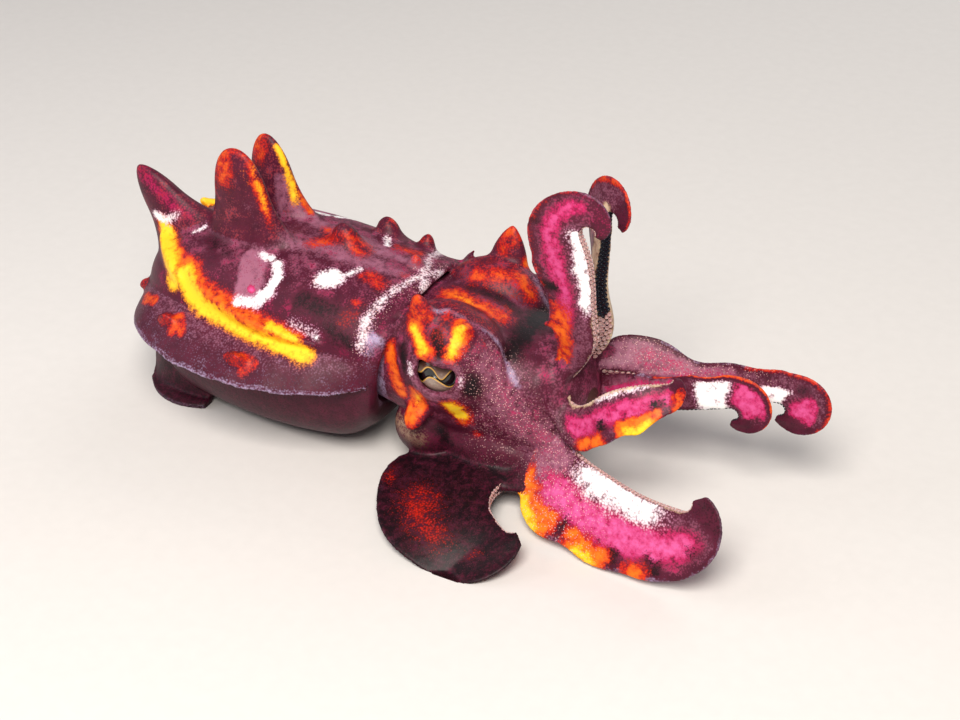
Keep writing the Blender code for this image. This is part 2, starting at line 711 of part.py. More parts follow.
def fin_rings(first, last, side, count=9, levels=5):
    rings = []
    for share in np.linspace(first, last, count):
        top, low = [], []
        for level in np.linspace(0, 1, levels):
            half = (FIN_ROOT_THICKNESS + (FIN_EDGE_THICKNESS - FIN_ROOT_THICKNESS) * level) / 2
            top.append(fin_point(share, level, half))
            low.append(fin_point(share, level, -half))
        rings.append(np.array(top + low[::-1]) * (1, side, 1))
    return rings


def fin_papillae(first, last, side):
    made = []
    for x, reach, height, length in FIN_PAPILLAE:
        share = (x - FIN_START) / (FIN_END - FIN_START)
        if first < share < last:
            foot, tip = fin_point(share, reach, 0.0), fin_point(share, reach + 0.12, height)
            flip = np.array((1, side, 1))
            made.append(papilla(foot * flip, tip * flip, length, FIN_PAPILLA_THICKNESS, 0.2, 0.0, 8, 4))
    return made


def fin_point(share, level, rise):
    """A point above the middle of the fin's blade, at a share of its width."""
    x = FIN_START + (FIN_END - FIN_START) * share
    root, before, after = fin_root(x), fin_root(max(x - 1, MANTLE_REAR + 0.5)), fin_root(x + 1)
    run = unit(after - before)
    out = unit(np.array((-run[1], run[0], 0)))
    reach = FIN_REACH * math.sin(math.pi * min(max(share ** 0.8, 0.03), 0.98)) ** 0.6
    reach *= FIN_REAR_SHARE + (1 - FIN_REAR_SHARE) * min(share / 0.35, 1)
    point = root - out * FIN_SUNK + out * ((reach + FIN_SUNK) * level)
    return point + (0, 0, rise - FIN_DROOP * level ** 1.6)


def make_fin(part, first, last, side):
    name = "fin_" + part + ("_left" if side > 0 else "_right")
    trim = GAP / 2 / (FIN_END - FIN_START)
    fin = loft(name, fin_rings(first + (trim if first > 0 else 0), last - (trim if last < 1 else 0), side), True)
    papillae = fin_papillae(first, last, side)
    if papillae:
        combine(fin, papillae, "UNION")
    cut_grown(fin, mantle_rings(grow=GAP))
    return fin


# Walking flaps under the rear of the mantle: along the body, root, floor edge
FLAP_PATH = ((-1.0, 8.0, 9.5), (4.0, 11.0, 6.0), (10.0, 12.5, 4.2), (16.0, 12.5, 3.4))
FLAP_FLARE = 5.0
FLAP_THICKNESS = 1.7


def flap_rings(side, count=9):
    path = smooth_through((0, 0.33, 0.66, 1), FLAP_PATH)
    rings = []
    for share in np.linspace(0, 1, count):
        root = path(share)
        swell = 0.45 + 0.55 * math.sin(math.pi * (0.08 + 0.84 * share)) ** 0.7
        half = FLAP_THICKNESS / 2
        out = FLAP_FLARE * swell
        lines = (
            (root + (0, -half, 2.6), root + (0, half, 2.6)),
            (root + (0, -half * 0.9 + out * 0.1, 0.2 * root[2] - root[2] * 0.55),
             root + (0, half * 1.1 + out * 0.2, -root[2] * 0.45)),
            (np.array((root[0], root[1] - half + out * 0.35, 0.0)),
             np.array((root[0], root[1] + half + out * 0.45, FLAP_THICKNESS * 0.9))),
            (np.array((root[0], root[1] + out * 0.98 + 0.4, 0.0)),
             np.array((root[0], root[1] + out * 1.0 + 0.4, FLAP_THICKNESS * 0.45))),
        )
        inner = [line[0] for line in lines]
        outer = [line[1] for line in lines]
        rings.append(np.array(inner + outer[::-1]) * (1, side, 1))
    return rest_on_floor(rings)


def make_flap(side):
    name = "flap_left" if side > 0 else "flap_right"
    flap = loft(name, flap_rings(side), True)
    cut_grown(flap, mantle_rings(grow=GAP))
    return flap


def make_arm(name):
    """The two lengths of one arm with their suckers, parted by a thin cut across it."""
    trim = GAP / 2 / ARM_LENGTH_GUESS
    made = []
    for part, first, last, count in (
        ("base", 0.0, ARM_SPLIT - trim, ARM_RINGS),
        ("tip", ARM_SPLIT + trim, 1.0, ARM_CURL_RINGS * 2),
    ):
        rings = rest_on_floor(arm_rings(name, first, last, count))
        piece = loft(name + "_" + part, rings, True)
        combine(piece, arm_suckers(name, first, last), "UNION")
        made.append(piece)
    cut_grown(made[0], head_rings(grow=GAP))
    for piece in made:
        cut_by_lobes(piece)
    return made


def material(name, colour, roughness):
    made = bpy.data.materials.new(name)
    made.use_nodes = True
    shader = made.node_tree.nodes["Principled BSDF"]
    shader.inputs["Base Color"].default_value = (*colour, 1)
    shader.inputs["Roughness"].default_value = roughness
    shader.inputs["Metallic"].default_value = 0.0
    return made


def finish(made, look):
    clean(made)
    made.data.materials.clear()
    made.data.materials.append(look)
    made.data.shade_smooth()
    made.data.set_sharp_from_angle(angle=math.radians(40))


def build():
    for old in list(bpy.data.objects):
        bpy.data.objects.remove(old)
    maroon = material("maroon_skin", (0.16, 0.02, 0.04), 0.4)
    rose = material("rose_skin", (0.45, 0.06, 0.12), 0.4)
    amber = material("amber_skin", (0.7, 0.2, 0.03), 0.4)
    iris = material("silver_iris", (0.35, 0.25, 0.2), 0.25)
    pale = material("pale_skin", (0.5, 0.36, 0.36), 0.4)
    finish(make_mantle(), maroon)
    finish(make_head(), rose)
    finish(make_funnel(), pale)
    finish(make_mouth(), pale)
    for side in (1, -1):
        finish(make_eye(side), iris)
        finish(make_flap(side), maroon)
        for part, first, last in FIN_PARTS:
            finish(make_fin(part, first, last, side), amber)
    for name in ARM_PLAN:
        for piece in make_arm(name):
            finish(piece, rose)


build()
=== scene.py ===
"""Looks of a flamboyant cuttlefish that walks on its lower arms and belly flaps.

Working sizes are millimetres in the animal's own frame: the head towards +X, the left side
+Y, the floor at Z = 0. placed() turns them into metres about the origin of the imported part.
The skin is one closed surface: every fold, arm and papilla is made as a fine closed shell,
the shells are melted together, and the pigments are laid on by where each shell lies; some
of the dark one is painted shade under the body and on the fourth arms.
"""
import json
import math

import bpy
import numpy as np
from mathutils import Euler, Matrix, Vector
from mathutils.kdtree import KDTree

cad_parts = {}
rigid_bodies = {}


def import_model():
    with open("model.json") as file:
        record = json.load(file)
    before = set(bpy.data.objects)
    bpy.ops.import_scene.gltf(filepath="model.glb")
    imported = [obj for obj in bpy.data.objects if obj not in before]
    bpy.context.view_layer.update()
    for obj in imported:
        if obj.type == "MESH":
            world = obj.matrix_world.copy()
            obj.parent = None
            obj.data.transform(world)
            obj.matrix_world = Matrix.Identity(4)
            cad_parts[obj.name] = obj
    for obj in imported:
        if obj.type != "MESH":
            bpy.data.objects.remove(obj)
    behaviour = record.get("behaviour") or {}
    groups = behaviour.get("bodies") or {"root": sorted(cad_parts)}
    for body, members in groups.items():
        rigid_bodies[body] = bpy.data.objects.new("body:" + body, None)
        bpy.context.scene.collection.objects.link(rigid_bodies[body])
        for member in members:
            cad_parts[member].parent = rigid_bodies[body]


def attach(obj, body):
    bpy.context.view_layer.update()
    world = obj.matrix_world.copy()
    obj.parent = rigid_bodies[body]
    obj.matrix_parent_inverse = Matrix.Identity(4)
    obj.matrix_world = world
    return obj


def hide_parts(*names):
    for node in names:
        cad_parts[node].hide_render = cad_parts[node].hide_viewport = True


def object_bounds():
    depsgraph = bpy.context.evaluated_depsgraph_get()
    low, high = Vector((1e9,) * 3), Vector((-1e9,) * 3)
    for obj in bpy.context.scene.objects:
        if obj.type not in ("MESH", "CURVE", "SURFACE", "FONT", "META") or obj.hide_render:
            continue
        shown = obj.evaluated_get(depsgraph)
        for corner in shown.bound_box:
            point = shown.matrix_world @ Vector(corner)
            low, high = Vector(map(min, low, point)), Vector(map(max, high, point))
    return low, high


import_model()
cad_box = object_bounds()

MM = 0.001
ORIGIN = np.array((67.8, -2.4, 0.0))


def placed(points):
    """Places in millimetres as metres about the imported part's origin."""
    return (np.asarray(points, float) - ORIGIN) * MM


# Camera: the photograph's view, found from the mantle, the eye and the floor contacts
CAMERA_PLACE = (211.4, -261.3, 212.4)
CAMERA_TURN = (57.0, 0.0, 28.0)
CAMERA_ANGLE = 30.0


def set_camera():
    data = bpy.data.cameras.new("camera")
    data.sensor_width = 36
    data.angle = math.radians(CAMERA_ANGLE)
    data.clip_start = 0.01
    data.clip_end = 20
    made = bpy.data.objects.new("camera", data)
    made.location = placed(CAMERA_PLACE)
    made.rotation_euler = Euler([math.radians(turn) for turn in CAMERA_TURN])
    bpy.context.scene.collection.objects.link(made)
    bpy.context.scene.camera = made


set_camera()


# Curves and sections

def smooth_through(at, values):
    """A natural cubic spline through values placed at the numbers in at."""
    at = np.array(at, float)
    values = np.array(values, float)
    count = len(at)
    system = np.eye(count)
    right = np.zeros_like(values)
    for i in range(1, count - 1):
        before = at[i] - at[i - 1]
        after = at[i + 1] - at[i]
        system[i, i - 1:i + 2] = before, 2 * (before + after), after
        right[i] = 6 * ((values[i + 1] - values[i]) / after - (values[i] - values[i - 1]) / before)
    bend = np.linalg.solve(system, right)

    def value(where):
        where = np.clip(np.asarray(where, float), at[0], at[-1])
        i = np.clip(np.searchsorted(at, where, side="right") - 1, 0, count - 2)
        width = at[i + 1] - at[i]
        b = (where - at[i]) / width
        a = 1 - b
        if values.ndim == 2:
            a, b, width = a[..., None], b[..., None], width[..., None]
        curve = ((a ** 3 - a) * bend[i] + (b ** 3 - b) * bend[i + 1]) * width ** 2 / 6
        return a * values[i] + b * values[i + 1] + curve

    return value


def unit(vectors):
    """The same directions, each of length 1."""
    return vectors / np.linalg.norm(vectors, axis=-1, keepdims=True)


def ramp(values, low, high):
    """0 before low, 1 past high and smooth between; low may be the greater."""
    share = np.clip((np.asarray(values, float) - low) / (high - low), 0, 1)
    return share * share * (3 - 2 * share)


def circle_angles(sides):
    return np.linspace(0, 2 * math.pi, sides, endpoint=False)


def squared(wave, squareness):
    """A sine or cosine drawn out so that its circle becomes squarer."""
    return np.sign(wave) * np.abs(wave) ** (2 / squareness)


def section(angle, sizes, squareness, grow):
    """Y and Z of a cross section at angles from its widest line, on the left, upwards."""
    half_width, middle, top, bottom = sizes
    above = np.sin(angle) >= 0
    square = np.where(above, squareness[0], squareness[1])
    across = squared(np.cos(angle), square) * (half_width + grow)
    height = np.where(above, top - middle + grow, middle - bottom + grow)
    return across, middle + squared(np.sin(angle), square) * height


def flipped(points, side):
    """Points of the left side, or their like on the right where side is -1."""
    return np.array(points, float) * (1, side, 1)


# Shells: closed surfaces, each point with its part, how far along and how far across

PARTS = ["mantle", "papilla", "ridge", "head", "bulge", "lid", "web", "fin", "flap", "funnel"]
shells = []


def part_number(part):
    if part not in PARTS:
        PARTS.append(part)
    return PARTS.index(part)


def ring_corners(count, sides):
    """The four corners of every face between neighbouring rings, as point numbers."""
    rows = np.arange(count - 1)[:, None] * sides
    here = rows + np.arange(sides)
    beside = rows + (np.arange(sides) + 1) % sides
    return here, beside, beside + sides, here + sides


def shell(part, rings, along=None, across=None, keep=True):
    """A closed surface over rings of equal count, with a fan over each end."""
    rings = np.array(rings, float)
    count, sides = rings.shape[:2]
    a, b, c, d = ring_corners(count, sides)
    first, last = count * sides, count * sides + 1
    faces = np.concatenate((
        np.stack((a, b, c), -1).reshape(-1, 3),
        np.stack((a, c, d), -1).reshape(-1, 3),
        np.stack((b[0], a[0], np.full(sides, first)), -1),
        np.stack((d[-1], c[-1], np.full(sides, last)), -1),
    ))
    points = np.vstack((rings.reshape(-1, 3), rings[0].mean(axis=0), rings[-1].mean(axis=0)))
    corners = points[faces] - points.mean(axis=0)
    if np.einsum("ij,ij->i", corners[:, 0], np.cross(corners[:, 1], corners[:, 2])).sum() < 0:
        faces = faces[:, ::-1]
    along = np.linspace(0, 1, count) if along is None else np.asarray(along)
    across = np.zeros(sides) if across is None else np.asarray(across)
    made = {
        "part": part_number(part),
        "points": points,
        "faces": faces,
        "u": np.concatenate((np.repeat(along, sides), (along[0], along[-1]))),
        "v": np.concatenate((np.tile(across, count), (across.mean(), across.mean()))),
    }
    if keep:
        shells.append(made)
    return made


def mesh_object(name, points, faces):
    """An object from arrays of points and faces of three or four corners."""
    faces = np.ascontiguousarray(faces, np.int32)
    mesh = bpy.data.meshes.new(name)
    mesh.vertices.add(len(points))
    mesh.vertices.foreach_set("co", np.ascontiguousarray(points, np.float32).ravel())
    mesh.loops.add(faces.size)
    mesh.loops.foreach_set("vertex_index", faces.ravel())
    mesh.polygons.add(len(faces))
    mesh.polygons.foreach_set("loop_start", np.arange(len(faces), dtype=np.int32) * faces.shape[1])
    mesh.update(calc_edges=True)
    mesh.validate()
    made = bpy.data.objects.new(name, mesh)
    bpy.context.scene.collection.objects.link(made)
    return made


def applied(made):
    """Make an object's modifiers part of its mesh."""
    graph = bpy.context.evaluated_depsgraph_get()
    plain_mesh = made.data
    made.data = bpy.data.meshes.new_from_object(made.evaluated_get(graph))
    made.modifiers.clear()
    bpy.data.meshes.remove(plain_mesh)
    return made


def points_of(made):
    """Where an object's points are."""
    points = np.empty(len(made.data.vertices) * 3)
    made.data.vertices.foreach_get("co", points)
    return points.reshape(-1, 3)


def triangles_of(made):
    """The three points of each triangle of an object."""
    made.data.calc_loop_triangles()
    faces = np.empty(len(made.data.loop_triangles) * 3, np.int32)
    made.data.loop_triangles.foreach_get("vertices", faces)
    return faces.reshape(-1, 3)


def cut(body, cutters):
    """Hollows cut into a shell. Its own points stay, to tell the skin which part is near."""
    made = mesh_object("body", body["points"], body["faces"])
    group = bpy.data.collections.new("cutters")
    for cutter in cutters:
        group.objects.link(mesh_object("cutter", cutter["points"], cutter["faces"]))
    change = made.modifiers.new("cut", "BOOLEAN")
    change.operation = "DIFFERENCE"
    change.operand_type = "COLLECTION"
    change.collection = group
    change.solver = "MANIFOLD"
    applied(made)
    body["solid"] = points_of(made), triangles_of(made)
    for done in list(group.objects) + [made]:
        bpy.data.objects.remove(done)
    bpy.data.collections.remove(group)


# Mantle

MANTLE_REAR = -2.5
MANTLE_FRONT = 59.5
MANTLE_ROUNDING = 17.0
BACK_SQUARENESS = 2.3
BELLY_SQUARENESS = 3.2
# The collar: how far its top leans forward, how far it flares, its width and rounded edge
RIM_LEAN = 3.0
RIM_FLARE = 0.5
RIM_WIDTH = 4.0
RIM_EDGE = 0.8
REAR_SINK = 1.0
# Along the body: half width, height of the widest line, of the back and of the belly
MANTLE_STATIONS = np.array((
    (-2.5, 17.0, 22.0, 37.0, 4.0),
    (8.0, 18.8, 21.5, 38.0, 2.0),
    (20.0, 20.8, 20.5, 38.8, 0.8),
    (34.0, 22.0, 19.5, 38.8, 0.6),
    (47.0, 21.2, 20.0, 37.6, 1.2),
    (55.0, 19.6, 21.0, 36.4, 3.6),
    (59.5, 18.2, 22.0, 35.4, 8.0),
))
mantle_sizes = smooth_through(MANTLE_STATIONS[:, 0], MANTLE_STATIONS[:, 1:])


def mantle_ring(x, angle, grow=0.0):
    """Points of the mantle at one place along it, at angles from its widest line."""
    rear = MANTLE_REAR - grow
    rounded_to = MANTLE_REAR + MANTLE_ROUNDING
    sizes = mantle_sizes(max(x, MANTLE_REAR))
    left = max(rounded_to - x, 0) / (rounded_to - rear)
    round_off = math.sqrt(max(1 - left ** 2, 0)) ** 0.9
    centre = sizes[1] - REAR_SINK * (1 - round_off)
    across, up = section(angle, sizes, (BACK_SQUARENESS, BELLY_SQUARENESS), grow)
    forward = max((x - rear) / (MANTLE_FRONT - rear) - 0.5, 0) ** 2 * 4
    lean = RIM_LEAN * forward * np.sin(angle)
    return np.stack((x + lean, across * round_off, centre + (up - sizes[1]) * round_off), axis=-1)


def mantle_rings(count=150, sides=220):
    rings = []
    for share in np.linspace(0, 1, count):
        # The rings lie closer together at the rounded rear
        x = MANTLE_REAR + (MANTLE_FRONT - MANTLE_REAR) * (share ** 2.2 * 0.7 + share * 0.3)
        lip = RIM_FLARE * float(ramp(x, MANTLE_FRONT - RIM_WIDTH, MANTLE_FRONT - RIM_EDGE))
        lip -= 1.4 * RIM_FLARE * float(ramp(x, MANTLE_FRONT - RIM_EDGE, MANTLE_FRONT)) ** 2
        rings.append(mantle_ring(x, circle_angles(sides), lip))
    return rings


# Papillae: foot, tip, length and thickness of the foot, roundness of the tip
MANTLE_PAPILLAE = (
    ((8.0, -3.0, 31.0), (-4.0, -4.5, 47.0), 11.5, 6.0, 0.5),
    ((23.5, -5.0, 34.0), (21.0, -5.8, 57.0), 13.0, 4.6, 0.95),
    ((23.5, 6.0, 34.0), (20.0, 6.4, 54.8), 10.5, 4.4, 0.8),
    ((42.0, 1.0, 36.5), (41.2, 1.0, 42.4), 6.4, 5.2, 0.6),
    ((46.0, 10.5, 33.5), (45.0, 11.5, 39.8), 6.0, 5.0, 0.6),
    ((56.6, 2.0, 33.0), (57.3, 2.0, 39.0), 4.8, 4.4, 0.5),
    ((53.0, 12.0, 31.0), (53.6, 13.6, 37.0), 4.8, 4.2, 0.5),
)
HEAD_PAPILLAE = (
    ((72.0, 11.8, 32.0), (72.6, 13.6, 43.8), 9.0, 4.4, 0.3),
    ((78.5, 11.6, 29.0), (79.5, 12.6, 35.5), 6.0, 3.8, 0.4),
    ((69.5, 12.5, 20.5), (69.5, 19.0, 15.0), 6.0, 3.6, 0.6),
    ((67.6, -11.8, 32.0), (66.4, -13.6, 40.8), 7.5, 4.2, 0.35),
    ((75.5, -12.0, 30.0), (76.0, -13.6, 37.2), 6.0, 3.8, 0.4),
    ((68.0, -12.5, 19.5), (67.0, -19.0, 13.4), 6.0, 3.6, 0.6),
)
# How much wider a papilla's foot is than its stem, and the share of its height that widens
MANTLE_FLARE = 1.1
HEAD_FLARE = 0.35
FLARE_REACH = 0.6
PAPILLA_SIDES = 36
PAPILLA_RINGS = 30


def papilla(foot, tip, length, thickness, roundness, flare, part="papilla"):
    """A flattened cone standing on the skin, its foot spreading below the surface."""
    foot, tip = np.array(foot), np.array(tip)
    axis = unit(tip - foot)
    along = unit(np.array((1.0, 0, 0)) - axis[0] * axis)
    across = np.cross(axis, along)
    angle = circle_angles(PAPILLA_SIDES)
    rings, shares = [], []
    for step in np.linspace(0, 1, PAPILLA_RINGS):
        share = math.sin(step * math.pi / 2) ** (1 / (1 + roundness))
        # A sharp one narrows evenly, a round one keeps its width and ends in a dome
        taper = (1 - share ** (1.2 + 2.6 * roundness)) ** (0.9 - 0.4 * roundness) + 0.05
        spread = 1 + flare * max(1 - share / FLARE_REACH, 0) ** 2
        ring = foot + (tip - foot) * share
        ring = ring + np.outer(np.cos(angle) * length / 2 * taper * spread, along)
        ring = ring + np.outer(np.sin(angle) * thickness / 2 * taper * spread, across)
        rings.append(ring)
        shares.append(share)
    return shell(part, rings, shares, np.cos(angle))


# Raised folds above each fin: their radius, then points along the middle of each
RIDGE_RADIUS = 1.5
RIDGES = (
    ((2.8, 6.2, 35.6), (5.0, 9.4, 33.4), (11.0, 15.0, 32.4), (15.4, 17.4, 29.8)),
    ((14.2, 15.2, 33.6), (18.0, 16.9, 31.6), (24.0, 18.7, 30.0), (31.0, 20.3, 29.0),
     (38.5, 20.9, 28.2), (48.0, 20.2, 27.6)),
)


def fold(part, places, radius, end_share=0.3, sides=20, count=60):
    """A rounded fold of skin along a line of places, thinner at its ends."""
    share = np.linspace(0, 1, count)
    path = smooth_through(np.linspace(0, 1, len(places)), places)(share)
    run = unit(np.gradient(path, axis=0))
    over = unit(np.cross(run, (0.0, 0.4, 1.0)))
    up = np.cross(over, run)
    swell = radius * (end_share + (1 - end_share) * np.sin(math.pi * (0.02 + 0.96 * share)) ** 0.5)
    turn = circle_angles(sides)
    rings = []
    for middle, size, beside, above in zip(path, swell, over, up):
        ring = middle + np.outer(np.cos(turn) * size, beside)
        rings.append(ring + np.outer(np.sin(turn) * size, above))
    return shell(part, rings, share)


# Head

HEAD_REAR = 56.0
NECK_REAR = 52.0
HEAD_FRONT = 94.0
HEAD_ROUNDING = 5.0
HEAD_SQUARENESS = 2.4
# How far the mantle's front hollow stands off the head and off the eye swellings
RECESS_CLEARANCE = 0.9
BULGE_CLEARANCE = 0.6
# Along the body: half width, middle height, top and underside
HEAD_STATIONS = np.array((
    (52.0, 14.4, 22.0, 31.6, 11.8),
    (61.0, 16.0, 22.6, 33.4, 9.6),
    (68.0, 16.2, 22.4, 34.6, 8.0),
    (76.0, 15.0, 21.0, 33.6, 6.6),
    (84.0, 13.2, 19.0, 30.8, 5.8),
    (94.0, 12.4, 17.6, 29.6, 5.6),
))
head_sizes = smooth_through(HEAD_STATIONS[:, 0], HEAD_STATIONS[:, 1:])
EYE_CENTRE = np.array((71.2, 11.8, 25.6))
EYE_RADIUS = 5.7
SOCKET_GAP = 0.1
EYE_BULGE_CENTRE = np.array((71.0, 9.4, 25.6))
EYE_BULGE_RADII = np.array((12.4, 8.8, 12.0))
EYE_AIM = np.array((0.16, 0.97, 0.16))
CHEEK_CENTRE = np.array((66.6, 11.6, 9.6))
CHEEK_RADII = np.array((6.5, 4.6, 6.6))
JOWL_CENTRE = np.array((80.0, 9.8, 7.6))
JOWL_RADII = np.array((11.0, 4.8, 5.6))
CROWN_CENTRE = np.array((90.0, 0.0, 18.2))
MOUTH_RADIUS = 3.6
MOUTH_DEPTH = 4.0
LIP_WIDTH = 1.2


def head_rings(rear, grow=0.0, count=110, sides=160):
    front = HEAD_FRONT + grow
    rings = []
    for share in np.linspace(0, 1, count):
        x = rear + (front - rear) * math.sin(share * math.pi / 2) ** 1.2
        sizes = head_sizes(x)
        past = max(x - (front - HEAD_ROUNDING), 0) / HEAD_ROUNDING
        round_off = 0.45 + 0.55 * math.sqrt(max(1 - past ** 2, 0))
        across, up = section(circle_angles(sides), sizes, (HEAD_SQUARENESS, HEAD_SQUARENESS), grow)
        up = sizes[1] + (up - sizes[1]) * round_off
        rings.append(np.stack((np.full(sides, x), across * round_off, up), axis=1))
    return rings


def ellipsoid(part, centre, radii, keep=True, around=90, along=60):
    rings = []
    spread = circle_angles(around)
    for angle in np.linspace(0.01, math.pi - 0.01, along):
        forward = np.sin(angle) * np.cos(spread)
        rise = np.sin(angle) * np.sin(spread)
        ring = np.stack((forward, np.full(around, -np.cos(angle)), rise), axis=1)
        rings.append(np.array(centre) + ring * np.array(radii))
    return shell(part, rings, keep=keep)


# Outlines in the eye's own frame, forward and up from its middle: what the lids leave open,
# and the pupil, which is shaped like a low W
EYE_OPENING = (
    (-4.0, -0.6), (-3.9, 1.0), (-3.7, 2.5), (-2.0, 2.6), (-0.4, 2.3), (1.2, 2.1), (2.7, 2.1),
    (3.8, 1.7), (4.2, 0.7), (4.1, -0.6), (3.5, -1.8), (2.4, -3.0), (0.9, -3.6), (-0.8, -3.7),
    (-2.3, -3.4), (-3.4, -2.3),
)
PUPIL = (
    (-3.85, -0.96), (-2.95, -0.5), (-2.11, 0.57), (-1.31, 0.98), (-0.45, 0.58), (0.26, -0.31),
    (1.26, -0.97), (2.15, -0.19), (3.19, 1.2), (3.68, 0.54), (3.74, -0.53), (3.33, -1.52),
    (2.59, -1.95), (1.6, -1.37), (0.28, -0.56), (-0.77, -0.29), (-1.88, -0.79), (-2.87, -2.04),
    (-3.5, -2.2), (-4.0, -1.47),
)


def eye_frame(side):
    """Middle of an eye, the way it looks, its forward and its up."""
    flip = np.array((1, side, 1))
    aim = unit(EYE_AIM) * flip
    along = unit(np.array((1.0, 0, 0)) - aim[0] * aim)
    up = np.cross(along, aim) * side
    return EYE_CENTRE * flip, aim, along, up


def closed_curve(points, count):
    """A smooth closed line through a ring of points."""
    points = np.array(points)
    turn = np.vstack((points[-3:], points, points[:3]))
    at = np.arange(-3, len(points) + 3)
    return smooth_through(at, turn)(np.linspace(0, len(points), count, endpoint=False))


# The cut between the lids: how far out from the eye's middle, and how wide there
OPENING_STEPS = ((1.5, 0.9), (5.0, 0.98), (6.8, 1.0), (12.0, 1.3))


def eye_opening(side):
    """The cutter that opens the swelling between the lids."""
    centre, aim, along, up = eye_frame(side)
    forward, rise = closed_curve(EYE_OPENING, 64).T
    rings = []
    for reach, spread in OPENING_STEPS:
        ring = centre + aim * reach + np.outer(forward * spread, along)
        rings.append(ring + np.outer(rise * spread, up))
    return shell("cutter", rings, keep=False)


def on_bulge(side, direction):
    """Where a line from the eye's centre leaves the swelling round the eye."""
    centre, *_ = eye_frame(side)
    flip = np.array((1, side, 1))
    scaled = unit(direction) / EYE_BULGE_RADII
    start = (centre - EYE_BULGE_CENTRE * flip) / EYE_BULGE_RADII
    a, b, c = scaled @ scaled, 2 * scaled @ start, start @ start - 1
    return centre + unit(direction) * ((-b + math.sqrt(b * b - 4 * a * c)) / (2 * a))


# Folds of the lids in the eye's frame: radius and points, above, below and outer crease
LID_FOLDS = (
    (0.62, ((-4.6, 0.2), (-4.3, 2.6), (-2.2, 3.5), (0.4, 3.0), (3.0, 2.9), (4.6, 1.6),
            (4.9, 0.0))),
    (0.5, ((-4.5, -1.2), (-3.6, -3.4), (-1.6, -4.5), (0.8, -4.5), (2.9, -3.8), (4.4, -2.2),
           (4.8, -0.4))),
    (0.5, ((-5.6, -1.0), (-4.4, -4.4), (-2.0, -5.8), (0.9, -5.9), (3.6, -4.8), (5.4, -2.8))),
)
LID_SUNK = 0.35


def lid_fold(side, radius, outline):
    _, aim, along, up = eye_frame(side)
    places = []
    for forward, rise in outline:
        outward = aim * EYE_RADIUS + along * forward + up * rise
        places.append(on_bulge(side, outward) - aim * radius * LID_SUNK)
    fold("lid", places, radius, sides=14, count=50)


def make_mantle():
    mantle = shell("mantle", mantle_rings())
    recess = head_rings(HEAD_REAR, RECESS_CLEARANCE, 40, 90)
    recess[0][:, 0] = HEAD_REAR - 0.3
    cutters = [shell("cutter", recess, keep=False)]
    for side in (1, -1):
        hollow = EYE_BULGE_RADII + BULGE_CLEARANCE
        cutters.append(ellipsoid("cutter", EYE_BULGE_CENTRE * (1, side, 1), hollow, False))
    cut(mantle, cutters)
    for plan in MANTLE_PAPILLAE:
        papilla(*plan, MANTLE_FLARE)
    for side in (1, -1):
        for places in RIDGES:
            fold("ridge", flipped(places, side), RIDGE_RADIUS)


# Soft folds of the head on the right: rim behind the eye, ridge before it
HEAD_FOLDS = (
    (0.9, ((64.6, -12.4, 36.6), (61.6, -13.8, 32.4), (59.6, -14.6, 26.5), (59.9, -14.6, 20.0),
           (62.2, -13.8, 14.6))),
    (0.7, ((75.6, -11.8, 36.2), (79.6, -11.0, 34.0), (82.3, -11.0, 30.0), (83.6, -12.0, 25.6),
           (83.0, -13.0, 21.5))),
)


def make_head():
    hollows = []
    head = shell("head", head_rings(NECK_REAR))
    for side in (1, -1):
        flip = np.array((1, side, 1))
        bulge = ellipsoid("bulge", EYE_BULGE_CENTRE * flip, EYE_BULGE_RADII)
        ellipsoid("head", CHEEK_CENTRE * flip, CHEEK_RADII)
        ellipsoid("web", JOWL_CENTRE * flip, JOWL_RADII)
        room = np.full(3, EYE_RADIUS + SOCKET_GAP)
        socket = ellipsoid("cutter", EYE_CENTRE * flip, room, False)
        opening = eye_opening(side)
        cut(bulge, [socket, opening])
        hollows += [socket, opening]
        for radius, outline in LID_FOLDS:
            lid_fold(side, radius, outline)
        for radius, places in HEAD_FOLDS:
            fold("head", flipped(places, -side), radius)
    mouth_wide = MOUTH_RADIUS + LIP_WIDTH
    mouth = ellipsoid("cutter", (HEAD_FRONT + 0.6, 0, CROWN_CENTRE[2]),
                      (MOUTH_DEPTH + 0.3, mouth_wide, mouth_wide), False)
    cut(head, hollows + [mouth])
    for plan in HEAD_PAPILLAE:
        papilla(*plan, HEAD_FLARE)


# Funnel, fins and walking flaps

FUNNEL_PATH = ((60.0, 0.0, 9.6), (70.0, 0.0, 6.2), (79.0, 0.0, 5.4))
FUNNEL_RADII = (5.4, 4.4, 3.2)
FUNNEL_WALL = 0.9
FUNNEL_WIDENING = 1.25
FIN_ANGLE = 16.0
FIN_START = -1.0
FIN_END = 57.5
FIN_REACH = 9.4
FIN_REAR_SHARE = 0.7
FIN_DROOP = 6.2
FIN_ROOT_THICKNESS = 1.8
FIN_EDGE_THICKNESS = 0.7
FIN_SUNK = 1.6
FIN_RUFFLE = 0.15
FIN_RUFFLE_LENGTH = 7.5
FIN_PAPILLA_THICKNESS = 2.6
# Papillae of each fin: place along the body, share of the fin's width, height and length
FIN_PAPILLAE = ((0.5, 0.55, 3.4, 4.6), (15.0, 0.5, 3.2, 5.0), (33.0, 0.62, 3.2, 5.4))
# Walking flaps under the rear of the mantle: along the body, root, floor edge
FLAP_PATH = ((-1.0, 8.0, 9.5), (4.0, 11.0, 6.0), (10.0, 12.5, 4.2), (16.0, 12.5, 3.4))
FLAP_FLARE = 5.0
FLAP_THICKNESS = 1.7
FLAP_SUNK = 2.6
FLAP_LEVELS = 14


